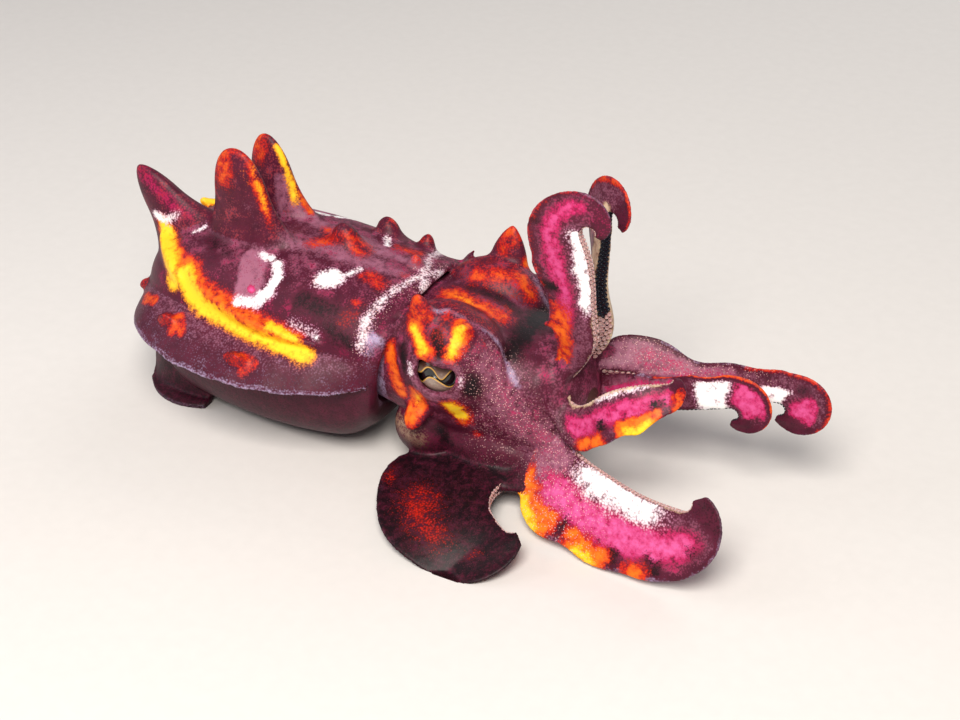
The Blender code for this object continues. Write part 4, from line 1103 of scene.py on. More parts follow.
# Streaks on the mantle and head: pigment, radius, the places it runs through, then strength,
# softness and sides
STREAKS = (
    # White along the top of the first yellow lobe and at the rear
    ("white", 1.2, ((0.7, -6.2, 37.4), (4.3, -6.4, 37.2), (6.4, -5.8, 38.8)), 0.85),
    ("white", 0.8, ((6, -6.2, 37.1), (8.4, -5.3, 38.2)), 0.8),
    ("white", 0.8, ((11.4, -8, 36.8), (13.1, -6.5, 37.6)), 0.8),
    # Two yellow lobes over the fin with a fiery upper side
    ("fire", 2.6, ((2.4, -7.4, 35.8), (8.4, -12.4, 34.6), (11.4, -14.6, 33.6),
        (14.9, -15.5, 34.1)), 0.95),
    ("yellow", 2.1, ((3.0, -7.4, 35.8), (8.4, -13.1, 34.1), (10.4, -15.9, 33.1),
        (12.1, -16.9, 30.6))),
    ("fire", 2.9, ((14.8, -15.9, 32.7), (20.6, -18.2, 30.6), (26.4, -19.5, 30.0),
        (31.0, -20.5, 29.6), (36.2, -21.4, 28.8), (43.0, -21.4, 27.4)), 0.85),
    ("yellow", 2.3, ((14.8, -16.3, 32.2), (17.3, -18.2, 30.0), (21.1, -19.4, 28.2),
        (26.8, -20.1, 27.9), (30.7, -20.6, 27.0), (37.4, -21.0, 26.4), (42.4, -21.0, 25.8),
        (45.5, -20.9, 25.0))),
    ("yellow", 1.2, ((37.5, -20.8, 29.4), (43.0, -21.5, 28.4), (46.0, -20.8, 26.0)), 0.9),
    # Mauve saddle with a white line round it
    ("mauve", 3.3, ((28.3, -11.5, 36.8), (29.4, -14.3, 35.2), (30.1, -17.0, 32.9)), 1.0, 0.35),
    ("white", 1.1, ((29.0, -9.9, 37.3), (31.5, -10.1, 37.2)), 0.9),
    ("white", 1.15, ((33.3, -11.1, 36.9), (34.9, -13.6, 35.6), (34.6, -16.2, 34.0),
        (33.1, -18.1, 31.8), (28.8, -18.5, 31.2))),
    ("white", 1.5, ((34.6, -16.4, 33.8), (32.6, -18.0, 31.8)), 0.95),
    ("rose", 0.9, ((30.8, -16.6, 33.4),)),
    # White blot and stipple behind the collar
    ("white", 2.3, ((44.0, -10.7, 36.2), (45.4, -9.8, 36.5)), 1.0, 0.6, (1,)),
    ("white", 0.9, ((47.1, -8.2, 36.7), (48.8, -5.5, 37.1)), 0.8),
    ("white", 1.4, ((41.5, -19.2, 29.9), (44.3, -18.9, 29.8), (46.9, -19.0, 29.1)), 0.45),
    ("white", 0.9, ((47.2, -19.2, 28.6),), 0.7),
    # Red cones and patches along the back
    ("fire", 2.0, ((42.5, -0.1, 40.3), (39.1, -0.7, 38.4), (36.4, -3.1, 38.4)), 0.62),
    ("fire", 1.8, ((42.5, -0.1, 40.3), (46.4, -1.3, 37.7)), 0.62),
    ("fire", 1.8, ((46.2, 11.4, 38.8), (43.0, 11.0, 36.0)), 0.62),
    ("fire", 2.2, ((50.8, -6.1, 36.8), (54.7, -6.9, 36.1)), 0.58),
    ("fire", 1.9, ((53.0, -13.6, 33.5), (51.7, -16.1, 31.8)), 0.42),
    ("fire", 1.7, ((57.8, 1.8, 38.8), (57.4, 2.0, 37.2)), 0.6),
    ("fire", 1.7, ((53.6, 13.4, 36.4), (52.4, 12.8, 34.0)), 0.6),
    ("mauve", 2.6, ((26.7, 4.9, 41.4), (32.1, 4.8, 38.5), (37.7, 3.4, 38.3), (43.3, 3.7, 37.8),
        (58.3, 1.6, 37.8)), 0.8),
    ("dark", 2.2, ((41.4, -15.8, 33.6), (48.0, -15.5, 33.1)), 0.7, 0.9),
    ("dark", 2.0, ((49.3, -17.9, 30.3), (53.9, -18.2, 28.4)), 0.7, 0.9),
    ("dark", 2.4, ((16.0, -9.0, 36.8), (22.0, -11.0, 36.4)), 0.6, 0.9),
    # Red triangles on the fin
    ("fire", 1.5, ((16.3, -22.1, 25.9), (18.8, -24.5, 24.5), (16.8, -24.4, 24.3)), 0.68, 0.25),
    ("fire", 1.5, ((33.9, -26.3, 24.7), (36.7, -25.9, 23.2), (35.2, -27.6, 21.9)), 0.6, 0.25),
    ("fire", 1.6, ((4.3, -16.9, 24.2), (7.7, -18.6, 25.6)), 0.68, 0.25),
    ("fire", 1.5, ((1.0, -14.4, 25.2), (1.6, -16.0, 24.0)), 0.68, 0.25),
    # Pale stipple round the collar
    ("white", 1.3, ((56.3, -17.7, 28.4), (55.7, -14.5, 32.5), (56.9, -9.6, 34.9),
        (57.6, -6.7, 35.6), (59.3, -1.5, 35.9), (62.1, 3.5, 35.2)), 0.66),
    ("sparkle", 1.8, ((56.5, -18, 27.5), (56.5, -15.6, 31.2), (56.8, -12.1, 33.8),
        (57.6, -8.1, 35.2), (59.3, -1.1, 35.9), (59.7, 3, 35.7), (61.3, 5.7, 35.2))),
    # The three tall papillae of the back
    ("rose", 2.2, ((-2.6, -5.2, 46.0), (3.1, -6.2, 42.0), (9, -5.5, 38.6)), 0.52),
    ("fire", 1.4, ((-3.4, -4.4, 46.4), (-1.6, -4.6, 45.4)), 0.5),
    ("fire", 1.5, ((17.6, -6.0, 54.6), (20.4, -5.8, 57.6), (23.8, -5.6, 56.0)), 0.7),
    ("fire", 1.3, ((17.2, -6.2, 52.0), (16.6, -6.0, 47.0)), 0.55),
    ("yellow", 0.7, ((25.4, -5.8, 54.0), (27.2, -6.2, 49.0), (28.4, -6.0, 44.0)), 0.7),
    ("fire", 1.2, ((24.8, -5.8, 54.8), (26.9, -6.2, 49.0), (28.6, -6.0, 43.0),
        (30.0, -6.0, 40.0)), 0.85),
    ("fire", 3.0, ((18.8, 6.4, 54.4), (19.6, 6.2, 51.0)), 0.72),
    ("yellow", 1.1, ((23.6, 5.8, 53.0), (26.0, 5.4, 48.0), (27.6, 5.0, 42.0)), 0.85),
    ("mauve", 2.4, ((24.7, 4.9, 46.0), (25.3, 4.5, 40.9)), 0.8),
    # Neck
    ("lavender", 2.2, ((58.4, -16.6, 30), (57.6, -16.0, 24.3), (57.4, -13.6, 14.8)), 0.75, 0.8),
    # Fire over the crown of the head
    ("fire", 2.6, ((69.0, 5.2, 36.1), (74.1, 6.4, 36.3), (76.7, 8.2, 35.6),
        (79.6, 7.4, 33.8)), 0.72, 1.0, (1,)),
    ("fire", 2.8, ((66.2, -1.1, 34.6), (72.5, -2.6, 34.4), (77.7, -1.5, 33.3)), 0.8, 1.0, (1,)),
    ("fire", 1.6, ((70.6, -10.6, 36.2), (73.9, -9.7, 36.0), (76.4, -7.0, 34.6)), 0.58, 1.0),
    ("yellow", 0.9, ((68.0, -1.6, 34.6), (72.0, -2.4, 34.6)), 0.5, 0.9, (1,)),
    ("dark", 2.0, ((69.5, 2.4, 35.0), (74.5, 2.8, 34.4), (80.0, 2.0, 32.4)), 0.7, 0.9, (1,)),
    ("dark", 2.2, ((66.0, -6.0, 34.6), (71.0, -6.8, 34.4), (78.0, -5.4, 33.0)), 0.6, 0.9),
    ("dark", 2.6, ((83.0, -4.1, 30.7), (83.2, 0.0, 31.0), (83.0, 7.4, 29.6)), 0.9, 0.8),
    # Round the eye: rear papilla, two yellow stripes over it, low orange spur
    ("fire", 2.6, ((72.4, -13.5, 43.0), (72.0, -12.8, 38.6)), 0.66, 0.6),
    ("fire", 2.4, ((66.0, -13.8, 39.6), (66.4, -13.4, 36.8), (68.3, -13.8, 36.8)), 0.68, 0.6),
    ("fire", 2.2, ((75.8, -13.2, 36.4), (75.6, -14.2, 33.6), (75.2, -16.0, 31.4)), 0.85, 0.6),
    ("fire", 2.2, ((66.2, -14.0, 34.4), (68.2, -15.8, 32.6), (70.1, -16.9, 31.0)), 0.85, 0.6),
    ("yellow", 1.1, ((66.2, -14.4, 33.8), (68.2, -16.0, 32.6), (69.5, -16.9, 31.3)), 0.9),
    ("yellow", 1.1, ((75.7, -14.1, 36.2), (75.2, -14.8, 33.6), (75.0, -16.3, 31.4)), 0.9),
    ("dark", 1.7, ((71.5, -15.2, 34.3), (72.7, -16.5, 31.6)), 0.95, 0.5),
    ("fire", 1.9, ((60.9, -14.2, 28.3), (61.8, -15.5, 25.9), (62.7, -16.1, 22.8),
        (63.9, -15.9, 19.6)), 0.85, 0.7),
    ("dark", 1.6, ((64.6, -16.0, 30.0), (65.6, -17.0, 26.4)), 0.8),
    ("fire", 2.3, ((68.3, -16.6, 20.8), (67.3, -16.9, 17.8), (66.9, -18.1, 15.4)), 0.9, 0.4),
    ("fire", 1.6, ((67.0, -18.5, 14.9), (68.4, -18.5, 13.8)), 0.6, 0.4),
    ("yellow", 1.0, ((68.3, -16.8, 20.6), (67.6, -17.0, 18.6)), 0.7),
    ("fire", 2.3, ((74.7, -16.4, 20.6), (75.9, -15.6, 19.1), (76.4, -14.3, 16.4)), 0.8, 0.6),
    ("yellow", 1.5, ((74.7, -16.7, 20.4), (75.9, -15.9, 19.1), (76.2, -14.8, 17.4))),
    ("dark", 1.9, ((78.9, -15.4, 26.8), (79.1, -15.4, 24.2)), 0.85, 0.7),
    ("dark", 1.8, ((71.2, -14.3, 11.9), (72.6, -12.9, 9.0)), 0.8, 0.8),
    ("fire", 1.5, ((78.7, -12.6, 12.6),), 0.55),
    ("white", 0.8, ((66.8, -17.5, 27.7), (66.9, -17.9, 25.4)), 0.7),
    ("white", 0.7, ((77.5, -16.8, 27.3), (77.3, -16.9, 25.8)), 0.7),
    # Pale fold line in front of the eye, and the mauve face with its fine pale dots
    ("lavender", 0.9, ((68.9, -13.0, 37.8), (71.6, -10.9, 36.8), (76.0, -11.2, 35.7),
        (79.0, -10.4, 34.2), (80.9, -9.5, 32.3), (83.7, -9.9, 27.8), (86.3, -11.2, 25.3)), 0.7),
    ("mauve", 5.6, ((81.3, -12.0, 28.3), (84.6, -12.4, 22.0), (88.6, -12.0, 17.2),
        (94.3, -12.1, 12.2)), 0.72, 0.8),
    ("rose", 3.6, ((84.0, -11.6, 24.0), (88.0, -12.0, 18.2), (94.6, -12.0, 13.0)), 0.42, 0.9),
    ("sparkle", 5.0, ((80.3, -12.8, 27.3), (84.6, -12.9, 21.0), (89.6, -12.5, 16.2),
        (97.3, -13.1, 10.2)), 1.0, 0.8),
    ("sparkle", 4.0, ((79.0, -14.0, 20.0), (82.0, -12.0, 12.0)), 0.6, 0.8),
    ("cream", 3.2, ((62.6, -14.9, 10.6), (66.6, -16.1, 9.1)), 0.5, 0.8),
)
# Bands on each arm: pigment, from and to along it, from and to across it from sucker face 0
# to keel 1, then strength and softness
BANDS = {
    "arm_1_right": (
        ("mauve", 0.0, 0.3, 0.2, 1.1, 0.6),
        ("fire", 0.08, 0.42, 0.38, 1.0, 0.78, 2.4),
        ("fire", 0.24, 0.36, 0.5, 0.85, 0.9, 1.6),
        ("fire", 0.44, 0.86, 0.9, 1.2, 0.6, 1.6),
        ("dark", 0.44, 0.5, 0.62, 1.0, 0.8),
        ("dark", 0.68, 0.72, 0.72, 1.1, 0.7),
        ("rose", 0.3, 0.88, 0.3, 0.8, 0.78, 2.2),
        ("rose", 0.8, 1.0, 0.1, 1.1, 0.35),
        ("white", 0.38, 0.74, -0.08, 0.2, 1.0, 1.7),
        ("cream", 0.1, 1.0, -0.3, -0.02, 0.8),
    ),
    "arm_1_left": (
        ("cream", 0.15, 0.84, -0.07, 0.3, 0.85),
        ("fire", 0.72, 1.0, 0.82, 1.1, 0.62),
        ("rose", 0.1, 0.72, 0.3, 0.8, 0.45),
        ("dark", 0.26, 1.0, -0.3, -0.125, 1.0, 0.2),
    ),
    "arm_2_right": (
        ("cream", 0.15, 0.9, -0.3, 0.08, 0.9),
        ("white", 0.5, 0.78, -0.02, 0.16, 0.7),
        ("rose", 0.24, 0.9, 0.2, 0.74, 0.8, 2.0),
        ("fire", 0.32, 0.5, 0.66, 1.1, 0.85, 1.4),
        ("fire", 0.56, 0.82, 0.62, 1.1, 0.95),
        ("yellow", 0.6, 0.78, 0.78, 1.1, 0.85),
        ("fire", 0.85, 0.95, 0.4, 1.1, 0.75),
        ("dark", 0.46, 0.54, 0.45, 0.75, 0.8),
        ("dark", 0.76, 0.84, 0.4, 0.7, 0.8),
    ),
    "arm_2_left": (
        ("mauve", 0.02, 0.6, 0.0, 0.9, 0.9, 2.0),
        ("rose", 0.2, 0.62, 0.1, 0.8, 0.5, 2.0),
        ("white", 0.66, 0.77, -0.1, 0.5),
        ("rose", 0.8, 0.9, 0.1, 0.7, 0.85),
        ("fire", 0.6, 0.92, 0.88, 1.1, 0.62),
        ("dark", 0.66, 0.7, 0.6, 0.9, 0.7),
        ("dark", 0.76, 0.8, 0.45, 0.8, 0.7),
        ("sparkle", 0.0, 0.7, 0.0, 1.1, 0.7, 3.0),
    ),
    "arm_3_right": (
        ("mauve", 0.02, 0.32, 0.0, 0.8, 0.9, 2.0),
        ("rose", 0.22, 0.86, 0.25, 0.8, 0.95, 2.6),
        ("fire", 0.0, 0.18, 0.4, 0.9, 0.45, 2.0),
        ("white", 0.32, 0.72, -0.06, 0.3, 1.05, 2.6),
        ("cream", 0.2, 1.0, -0.3, -0.03, 0.8),
        ("sparkle", 0.0, 0.5, -0.1, 1.1, 0.9, 3.0),
        ("fire", 0.14, 0.37, 0.62, 1.2, 1.0, 1.5),
        ("yellow", 0.19, 0.32, 0.8, 1.1, 0.85, 1.3),
        ("fire", 0.4, 0.57, 0.7, 1.2, 1.0, 1.4),
        ("yellow", 0.43, 0.54, 0.84, 1.1, 0.85, 1.3),
        ("fire", 0.61, 0.7, 0.78, 1.2, 0.85, 1.2),
        ("dark", 0.36, 0.41, 0.66, 0.92, 0.8),
        ("dark", 0.54, 0.6, 0.68, 0.96, 0.85),
        ("dark", 0.68, 0.74, 0.66, 0.94, 0.8),
        ("dark", 0.8, 0.85, 0.5, 0.8, 0.6),
        ("dark", 0.9, 1.0, 0.2, 1.1, 0.5),
    ),
    "arm_3_left": (
        ("mauve", 0.05, 0.5, 0.0, 1.0, 0.8, 2.0),
        ("rose", 0.14, 0.52, 0.1, 0.9, 0.7, 2.0),
        ("white", 0.57, 0.71, -0.1, 0.84),
        ("rose", 0.72, 0.88, 0.1, 0.84, 0.85),
        ("fire", 0.4, 0.92, 0.94, 1.2, 0.75, 0.5),
        ("dark", 0.5, 0.56, 0.2, 0.8, 0.5, 1.6),
        ("dark", 0.3, 1.0, -0.3, -0.06, 0.9, 0.4),
    ),
    "arm_4_right": (
        ("fire", 0.54, 0.8, 0.4, 0.82, 0.54, 2.6),
        ("fire", 0.5, 0.58, 0.86, 1.0, 0.5),
        ("fire", 0.82, 0.88, 0.4, 0.6, 0.6, 1.4),
        ("lavender", 0.40, 0.43, 0.2, 0.76, 0.6),
    ),
    "arm_4_left": (
        ("fire", 0.54, 0.8, 0.4, 0.82, 0.54, 2.6),
        ("fire", 0.82, 0.88, 0.4, 0.6, 0.6, 1.4),
    ),
}
ARMS = [name for name in PARTS if name.startswith("arm")]


def lay_pigments():
    """Ground colours of every part, then the streaks and bands over them."""
    x, _, z = points.T
    # The back is mauve towards the midline and the head front mauve; the belly, the underside of the
    # head and webs, and the flaps are darkened with painted shade
    on_mantle = is_part("mantle", "ridge")
    lay("mauve", on_mantle * ramp(z, 28, 39) * (0.5 + 0.7 * ragged))
    lay("mauve", is_part("papilla") * (0.3 + 0.5 * ragged))
    lay("fire", is_part("papilla") * (0.26 + 0.3 * ragged))
    lay("rose", on_mantle * ramp(z, 14, 30) * (0.24 + 0.6 * ragged))
    # Painted shade: the mantle darkens towards the floor, below 24 mm
    lay("dark", on_mantle * (1 - ramp(z, 6, 24)) * 0.55)
    lay("dark", on_mantle * ramp(ragged, 0.1, 0.5) * 0.45)
    lay("mauve", is_part("head", "bulge", "web") * ramp(z, 6, 16) * (0.42 + 0.5 * ragged))
    lay("rose", is_part("head", "bulge", "web") * ramp(z, 8, 18) * (0.26 + 0.5 * ragged))
    lay("mauve", is_part("web") * ramp(x, 94, 98) * 0.75)
    lay("lavender", is_part("head") * (x < 60) * ramp(z, 10, 16) * 0.5)
    # Painted shade: the head and webs darken below 14 mm, under the head and over the low sheets
    # between the arms
    lay("dark", is_part("head", "web") * (1 - ramp(z, 6, 14)) * 0.6)
    lay("cream", is_part("funnel") * 0.7)
    lay("mauve", is_part("lid") * 0.6)
    lay("fire", is_part("lid", "bulge") * ramp(z, 28, 35) * 0.4)
    lay("mauve", is_part("fin") * (1 - ramp(across, 0.4, 1.1)) * 0.5)
    lay("lavender", is_part("fin") * (0.2 + 0.2 * ragged))
    lay("lavender", is_part("fin") * ramp(across, 0.88, 1.0) * 0.55)
    # Painted shade on the walking flaps under the mantle
    lay("dark", is_part("flap") * 0.6)
    lay("lavender", is_part("flap") * ramp(across, 0.9, 1.0) * 0.5)
    lay("fire", is_part("fin_papilla") * 0.5)
    for arm in ARMS:
        band(arm, "mauve", 0.0, 0.9, 0.0, 0.9, 0.5)
        band(arm, "lavender", 0.3, 1.1, 0.95, 1.2, 0.45, 0.3)
    # Painted shade: the fourth arms, reaching down to the floor under the head, are darkened all over
    lay("dark", is_part("arm_4_right", "arm_4_left") * 0.75)
    for plan in STREAKS:
        streak(*plan)
    for arm, bands in BANDS.items():
        for plan in bands:
            band(arm, *plan)


lay_pigments()


def marked(made, name, values):
    """Numbers kept at each point of an object, for its material to read."""
    kept = made.data.attributes.new(name, "FLOAT", "POINT")
    kept.data.foreach_set("value", np.ascontiguousarray(values, np.float32))


# Suckers, as one mesh of small cups on the sucker faces

# Profile of a cup from its root to its floor: radius and height as shares of its size
CUP = (
    (0.7, -0.5), (0.74, 0.0), (0.96, 0.34), (1.0, 0.5),
    (0.86, 0.6), (0.66, 0.5), (0.5, 0.22), (0.0, 0.16),
)
CUP_SIDES = 14
# Where the suckers start and stop along an arm, and their size as a share of its thickness
SUCKER_FIRST = 0.1
SUCKER_LAST = 0.985
SUCKER_SHARE = 0.115
SUCKER_STEP = 1.25
# Places of the two cups of a row across the face, in turn for even and odd rows
CUP_PLACES = ((-0.1, 0.25), (-0.25, 0.1))


def cup(centre, out, along_it, size):
    """Points and faces of one sucker that stands out from a centre."""
    turn = circle_angles(CUP_SIDES)
    circle = np.outer(np.cos(turn), along_it) + np.outer(np.sin(turn), np.cross(out, along_it))
    rings = []
    for radius, height in CUP:
        rings.append(centre + out * (height * size) + circle * (radius * size))
    faces = np.stack(ring_corners(len(CUP), CUP_SIDES), -1).reshape(-1, 4)
    return np.vstack(rings), faces


def arm_suckers(name):
    """Cups in four rows that shrink towards the tip."""
    made = []
    here = SUCKER_FIRST
    row = 0
    glance = 0.01
    lines = arms[name]
    while here < SUCKER_LAST:
        point, keel, aside, _ = along_arm(lines, here)
        ahead = along_arm(lines, min(here + glance, 1))[0]
        thick = arm_thickness(here)
        size = thick * SUCKER_SHARE
        run = unit(np.cross(keel, aside))
        for place in CUP_PLACES[row % 2]:
            out = unit(-keel + aside * place * 0.9)
            # The cups follow the dip of the face, deeper at its middle
            rise = thick * 0.07 * (abs(place) * 6 - 1.4)
            centre = point + aside * (place * thick * 0.95) - keel * rise
            made.append(cup(centre, out, run, size))
        here += size * SUCKER_STEP / np.linalg.norm(ahead - point) * glance
        row += 1
    return made


# Eyes

EYE_RINGS = 150
EYE_SIDES = 220
EYE_GAP = 0.1
# The sunk pupil: its depth, the soft width of its edge in and out, and the raised rim round
# it as height, distance from the edge and width
PUPIL_DEPTH = 0.22
PUPIL_EDGE = (-0.12, 0.16)
PUPIL_RIM = (0.1, 0.5, 0.3)
FAR_AWAY = 9.0


def outline_distance(places, outline):
    """Distance of flat points to a closed outline, less than 0 inside it."""
    start, stop = outline, np.roll(outline, -1, axis=0)
    run = stop - start
    offset = places[:, None] - start[None]
    share = np.clip(np.einsum("ijk,jk->ij", offset, run) / np.sum(run ** 2, axis=1), 0, 1)
    away = np.linalg.norm(offset - share[..., None] * run, axis=2).min(axis=1)
    crosses = (start[None, :, 1] > places[:, None, 1]) != (stop[None, :, 1] > places[:, None, 1])
    with np.errstate(divide="ignore", invalid="ignore"):
        meet = start[:, 0] + (places[:, None, 1] - start[:, 1]) * run[:, 0] / run[:, 1]
    inside = np.sum(crosses & (places[:, None, 0] < meet), axis=1) % 2 == 1
    return np.where(inside, -away, away)


def make_eyeball(side):
    """An eyeball whose pupil is sunk into it, with its rings closest round the pupil."""
    centre, aim, ahead, up = eye_frame(side)
    share = np.linspace(0, 1, EYE_RINGS)
    polar = math.pi * (0.3 * share + 0.7 * share ** 3)
    turn = circle_angles(EYE_SIDES)
    forward = np.outer(np.sin(polar), np.cos(turn))
    rise = np.outer(np.sin(polar), np.sin(turn))
    depth = np.repeat(np.cos(polar)[:, None], EYE_SIDES, axis=1)
    flat = np.stack((forward, rise), -1).reshape(-1, 2) * EYE_RADIUS
    front = depth.ravel() > 0
    away = np.where(front, outline_distance(flat, closed_curve(PUPIL, 90)), FAR_AWAY)
    sink = PUPIL_DEPTH * (1 - ramp(away, *PUPIL_EDGE))
    height, place, width = PUPIL_RIM
    swell = height * np.exp(-((away - place) / width) ** 2)
    radius = EYE_RADIUS - sink + np.where(front, swell, 0) - EYE_GAP
    directions = forward.ravel()[:, None] * ahead + rise.ravel()[:, None] * up
    directions = directions + depth.ravel()[:, None] * aim
    points = centre + directions * radius[:, None]
    faces = np.stack(ring_corners(EYE_RINGS, EYE_SIDES), -1).reshape(-1, 4)
    if side < 0:
        faces = faces[:, ::-1]
    name = "eyeball_left" if side > 0 else "eyeball_right"
    made = mesh_object(name, placed(points), faces)
    marked(made, "away", away)
    marked(made, "height", flat[:, 1])
    return made


# Materials

# Sockets of a colour mix: its share, the colour under, the colour over and the outcome
SHARE = 0
UNDER = 6
OVER = 7
MIXED = 2


def linear(hex_colour):
    """An sRGB hex colour as linear red, green, blue and a full alpha."""
    parts = [int(hex_colour[i:i + 2], 16) / 255 for i in (1, 3, 5)]
    return [c / 12.92 if c <= 0.04045 else ((c + 0.055) / 1.055) ** 2.4 for c in parts] + [1.0]


def add(tree, kind, settings, links):
    """A node with its settings, and the output that feeds each of its linked inputs."""
    node = tree.nodes.new("ShaderNode" + kind)
    for name, value in settings.items():
        if isinstance(name, str) and hasattr(node, name):
            setattr(node, name, value)
        else:
            node.inputs[name].default_value = value
    for name, output in links.items():
        tree.links.new(output, node.inputs[name])
    return node


def per_mm(size):
    """Pattern scale for swells of a size in millimetres, as coordinates are in metres."""
    return 1 / (size * MM)


def new_material(name, settings):
    """A material with one shader, ready for the nodes of its colour."""
    material = bpy.data.materials.new(name)
    material.use_nodes = True
    tree = material.node_tree
    tree.nodes.clear()
    shader = add(tree, "BsdfPrincipled", settings, {})
    add(tree, "OutputMaterial", {}, {"Surface": shader.outputs[0]})
    return material, tree, shader


def clouds(tree, size, detail, first, second):
    """A colour that drifts between two in clouds of a size in millimetres."""
    place = add(tree, "TexCoord", {}, {}).outputs["Object"]
    swell = add(tree, "TexNoise", {"Scale": per_mm(size), "Detail": detail}, {"Vector": place})
    pair = {"data_type": "RGBA", UNDER: linear(first), OVER: linear(second)}
    return add(tree, "Mix", pair, {SHARE: swell.outputs["Fac"]}).outputs[MIXED]


# Pigment layers from the deepest up: how grainy their edge is, then the colours that the
# skin takes as the layer grows from thin to full
LAYERS = (
    ("mauve", 0.5, ((0.2, "#5e2a3e"), (0.9, "#a0627a"))),
    ("lavender", 0.4, ((0.2, "#7d5f7c"), (0.9, "#b9a8c8"))),
    ("rose", 0.45, ((0.2, "#701236"), (0.6, "#bf1e5c"), (1.0, "#dd5f9e"))),
    ("cream", 0.4, ((0.2, "#8f6048"), (0.9, "#dcc4a6"))),
    # The dark layer holds dark markings and also the painted shade under the body and on the fourth
    # arms
    ("dark", 0.5, ((0.2, "#3c0c1c"), (0.8, "#14050c"))),
    ("fire", 0.45, ((0.2, "#6c0e14"), (0.55, "#c4200e"), (0.95, "#f4761a"))),
    ("yellow", 0.4, ((0.2, "#c8480c"), (0.5, "#f29a12"), (0.85, "#ffd22a"))),
    ("white", 0.6, ((0.2, "#b86a92"), (0.85, "#ffffff"))),
)
# Sizes in millimetres. The pigment sacs are drawn up to twice as wide as the real ones, and
# so are the pale dots, so that they show
SAC_SIZE = 0.42
DOT_SIZE = 0.45
MOTTLE_SIZE = 1.5
CLOUD_SIZE = 2.4
WRINKLE_SIZE = 0.9
WRINKLE_DEPTH = 0.3


def skin_material():
    """Moist cephalopod skin: elastic pigment sacs over pale reflecting cells. The sacs give
    it a fine stipple, the wet surface a soft broken gloss."""
    material, tree, shader = new_material("mantle_skin", {
        "Roughness": 0.46,
        "IOR": 1.38,
        "Specular IOR Level": 0.35,
        "Subsurface Weight": 0.08,
        "Subsurface Scale": 0.0008,
    })
    place = add(tree, "TexCoord", {}, {}).outputs["Object"]
    # Each sac's edge, above 0 at its middle and below 0 between sacs
    sacs = add(tree, "TexVoronoi", {"Scale": per_mm(SAC_SIZE)}, {"Vector": place})
    sac_edge = add(tree, "MapRange", {"From Max": 0.7, "To Min": 0.5, "To Max": -0.5},
                   {"Value": sacs.outputs["Distance"]}).outputs[0]
    # The bare skin under all pigment, wine red and clouded, with dark sacs
    bare = clouds(tree, CLOUD_SIZE, 4.0, "#641c36", "#30091a")
    sac_dark = add(tree, "MapRange", {"From Min": -0.1, "From Max": 0.35}, {"Value": sac_edge})
    base = add(tree, "Mix", {"data_type": "RGBA", OVER: linear("#1c0610")},
               {SHARE: sac_dark.outputs[0], UNDER: bare}).outputs[MIXED]
    # Every layer comes in sac by sac, thinned by a mottle
    blotch = add(tree, "TexNoise", {"Scale": per_mm(MOTTLE_SIZE), "Detail": 5.0, "Roughness": 0.6},
                 {"Vector": place})
    mottle = add(tree, "MapRange", {"From Min": 0.3, "From Max": 0.6, "To Min": 0.62, "To Max": 1.06},
                 {"Value": blotch.outputs["Fac"]}).outputs[0]
    for name, strength, stops in LAYERS:
        laid = add(tree, "Attribute", {"attribute_name": name}, {}).outputs["Fac"]
        amount = add(tree, "Math", {"operation": "MULTIPLY"}, {0: laid, 1: mottle}).outputs[0]
        grainy = add(tree, "Math", {"operation": "MULTIPLY_ADD", 1: strength},
                     {0: sac_edge, 2: amount}).outputs[0]
        share = add(tree, "MapRange",
                    {"From Min": 0.1, "From Max": 0.62, "interpolation_type": "SMOOTHSTEP"},
                    {"Value": grainy}).outputs[0]
        tint = add(tree, "ValToRGB", {}, {"Fac": amount})
        scale = tint.color_ramp.elements
        for element, (position, colour) in zip(scale, (stops[0], stops[-1])):
            element.position = position
            element.color = linear(colour)
        for position, colour in stops[1:-1]:
            scale.new(position).color = linear(colour)
        base = add(tree, "Mix", {"data_type": "RGBA"},
                   {SHARE: share, UNDER: base, OVER: tint.outputs[0]}).outputs[MIXED]
    # Fine pale dots where the skin sparkles
    dots = add(tree, "TexVoronoi", {"Scale": per_mm(DOT_SIZE)}, {"Vector": place})
    dot = add(tree, "MapRange", {"From Min": 0.3, "From Max": 0.12},
              {"Value": dots.outputs["Distance"]}).outputs[0]
    where = add(tree, "Attribute", {"attribute_name": "sparkle"}, {}).outputs["Fac"]
    spot = add(tree, "Math", {"operation": "MULTIPLY"}, {0: dot, 1: where}).outputs[0]
    final = add(tree, "Mix", {"data_type": "RGBA", OVER: linear("#eab6b4")},
                {SHARE: spot, UNDER: base}).outputs[MIXED]
    tree.links.new(final, shader.inputs["Base Color"])
    # Small wrinkles
    relief = add(tree, "TexNoise", {"Scale": per_mm(WRINKLE_SIZE), "Detail": 5.0}, {"Vector": place})
    bump = add(tree, "Bump", {"Strength": 0.2, "Distance": WRINKLE_DEPTH * MM},
               {"Height": relief.outputs["Fac"]}).outputs[0]
    tree.links.new(bump, shader.inputs["Normal"])
    return material


def sucker_material():
    """Firm pale sucker flesh, smooth and wet. Light goes a little way into it, so that the
    cups look waxy. Its clouds are drawn half a millimetre wide, coarser than real."""
    material, tree, shader = new_material("sucker_flesh", {
        "Roughness": 0.35,
        "IOR": 1.38,
        "Subsurface Weight": 0.15,
        "Subsurface Scale": 0.001,
    })
    pale = clouds(tree, 0.5, 2.0, "#d8b7ae", "#b98a90")
    dark = add(tree, "Attribute", {"attribute_name": "dark"}, {}).outputs["Fac"]
    colour = add(tree, "Mix", {"data_type": "RGBA", OVER: linear("#161726")},
                 {SHARE: dark, UNDER: pale}).outputs[MIXED]
    tree.links.new(colour, shader.inputs["Base Color"])
    return material


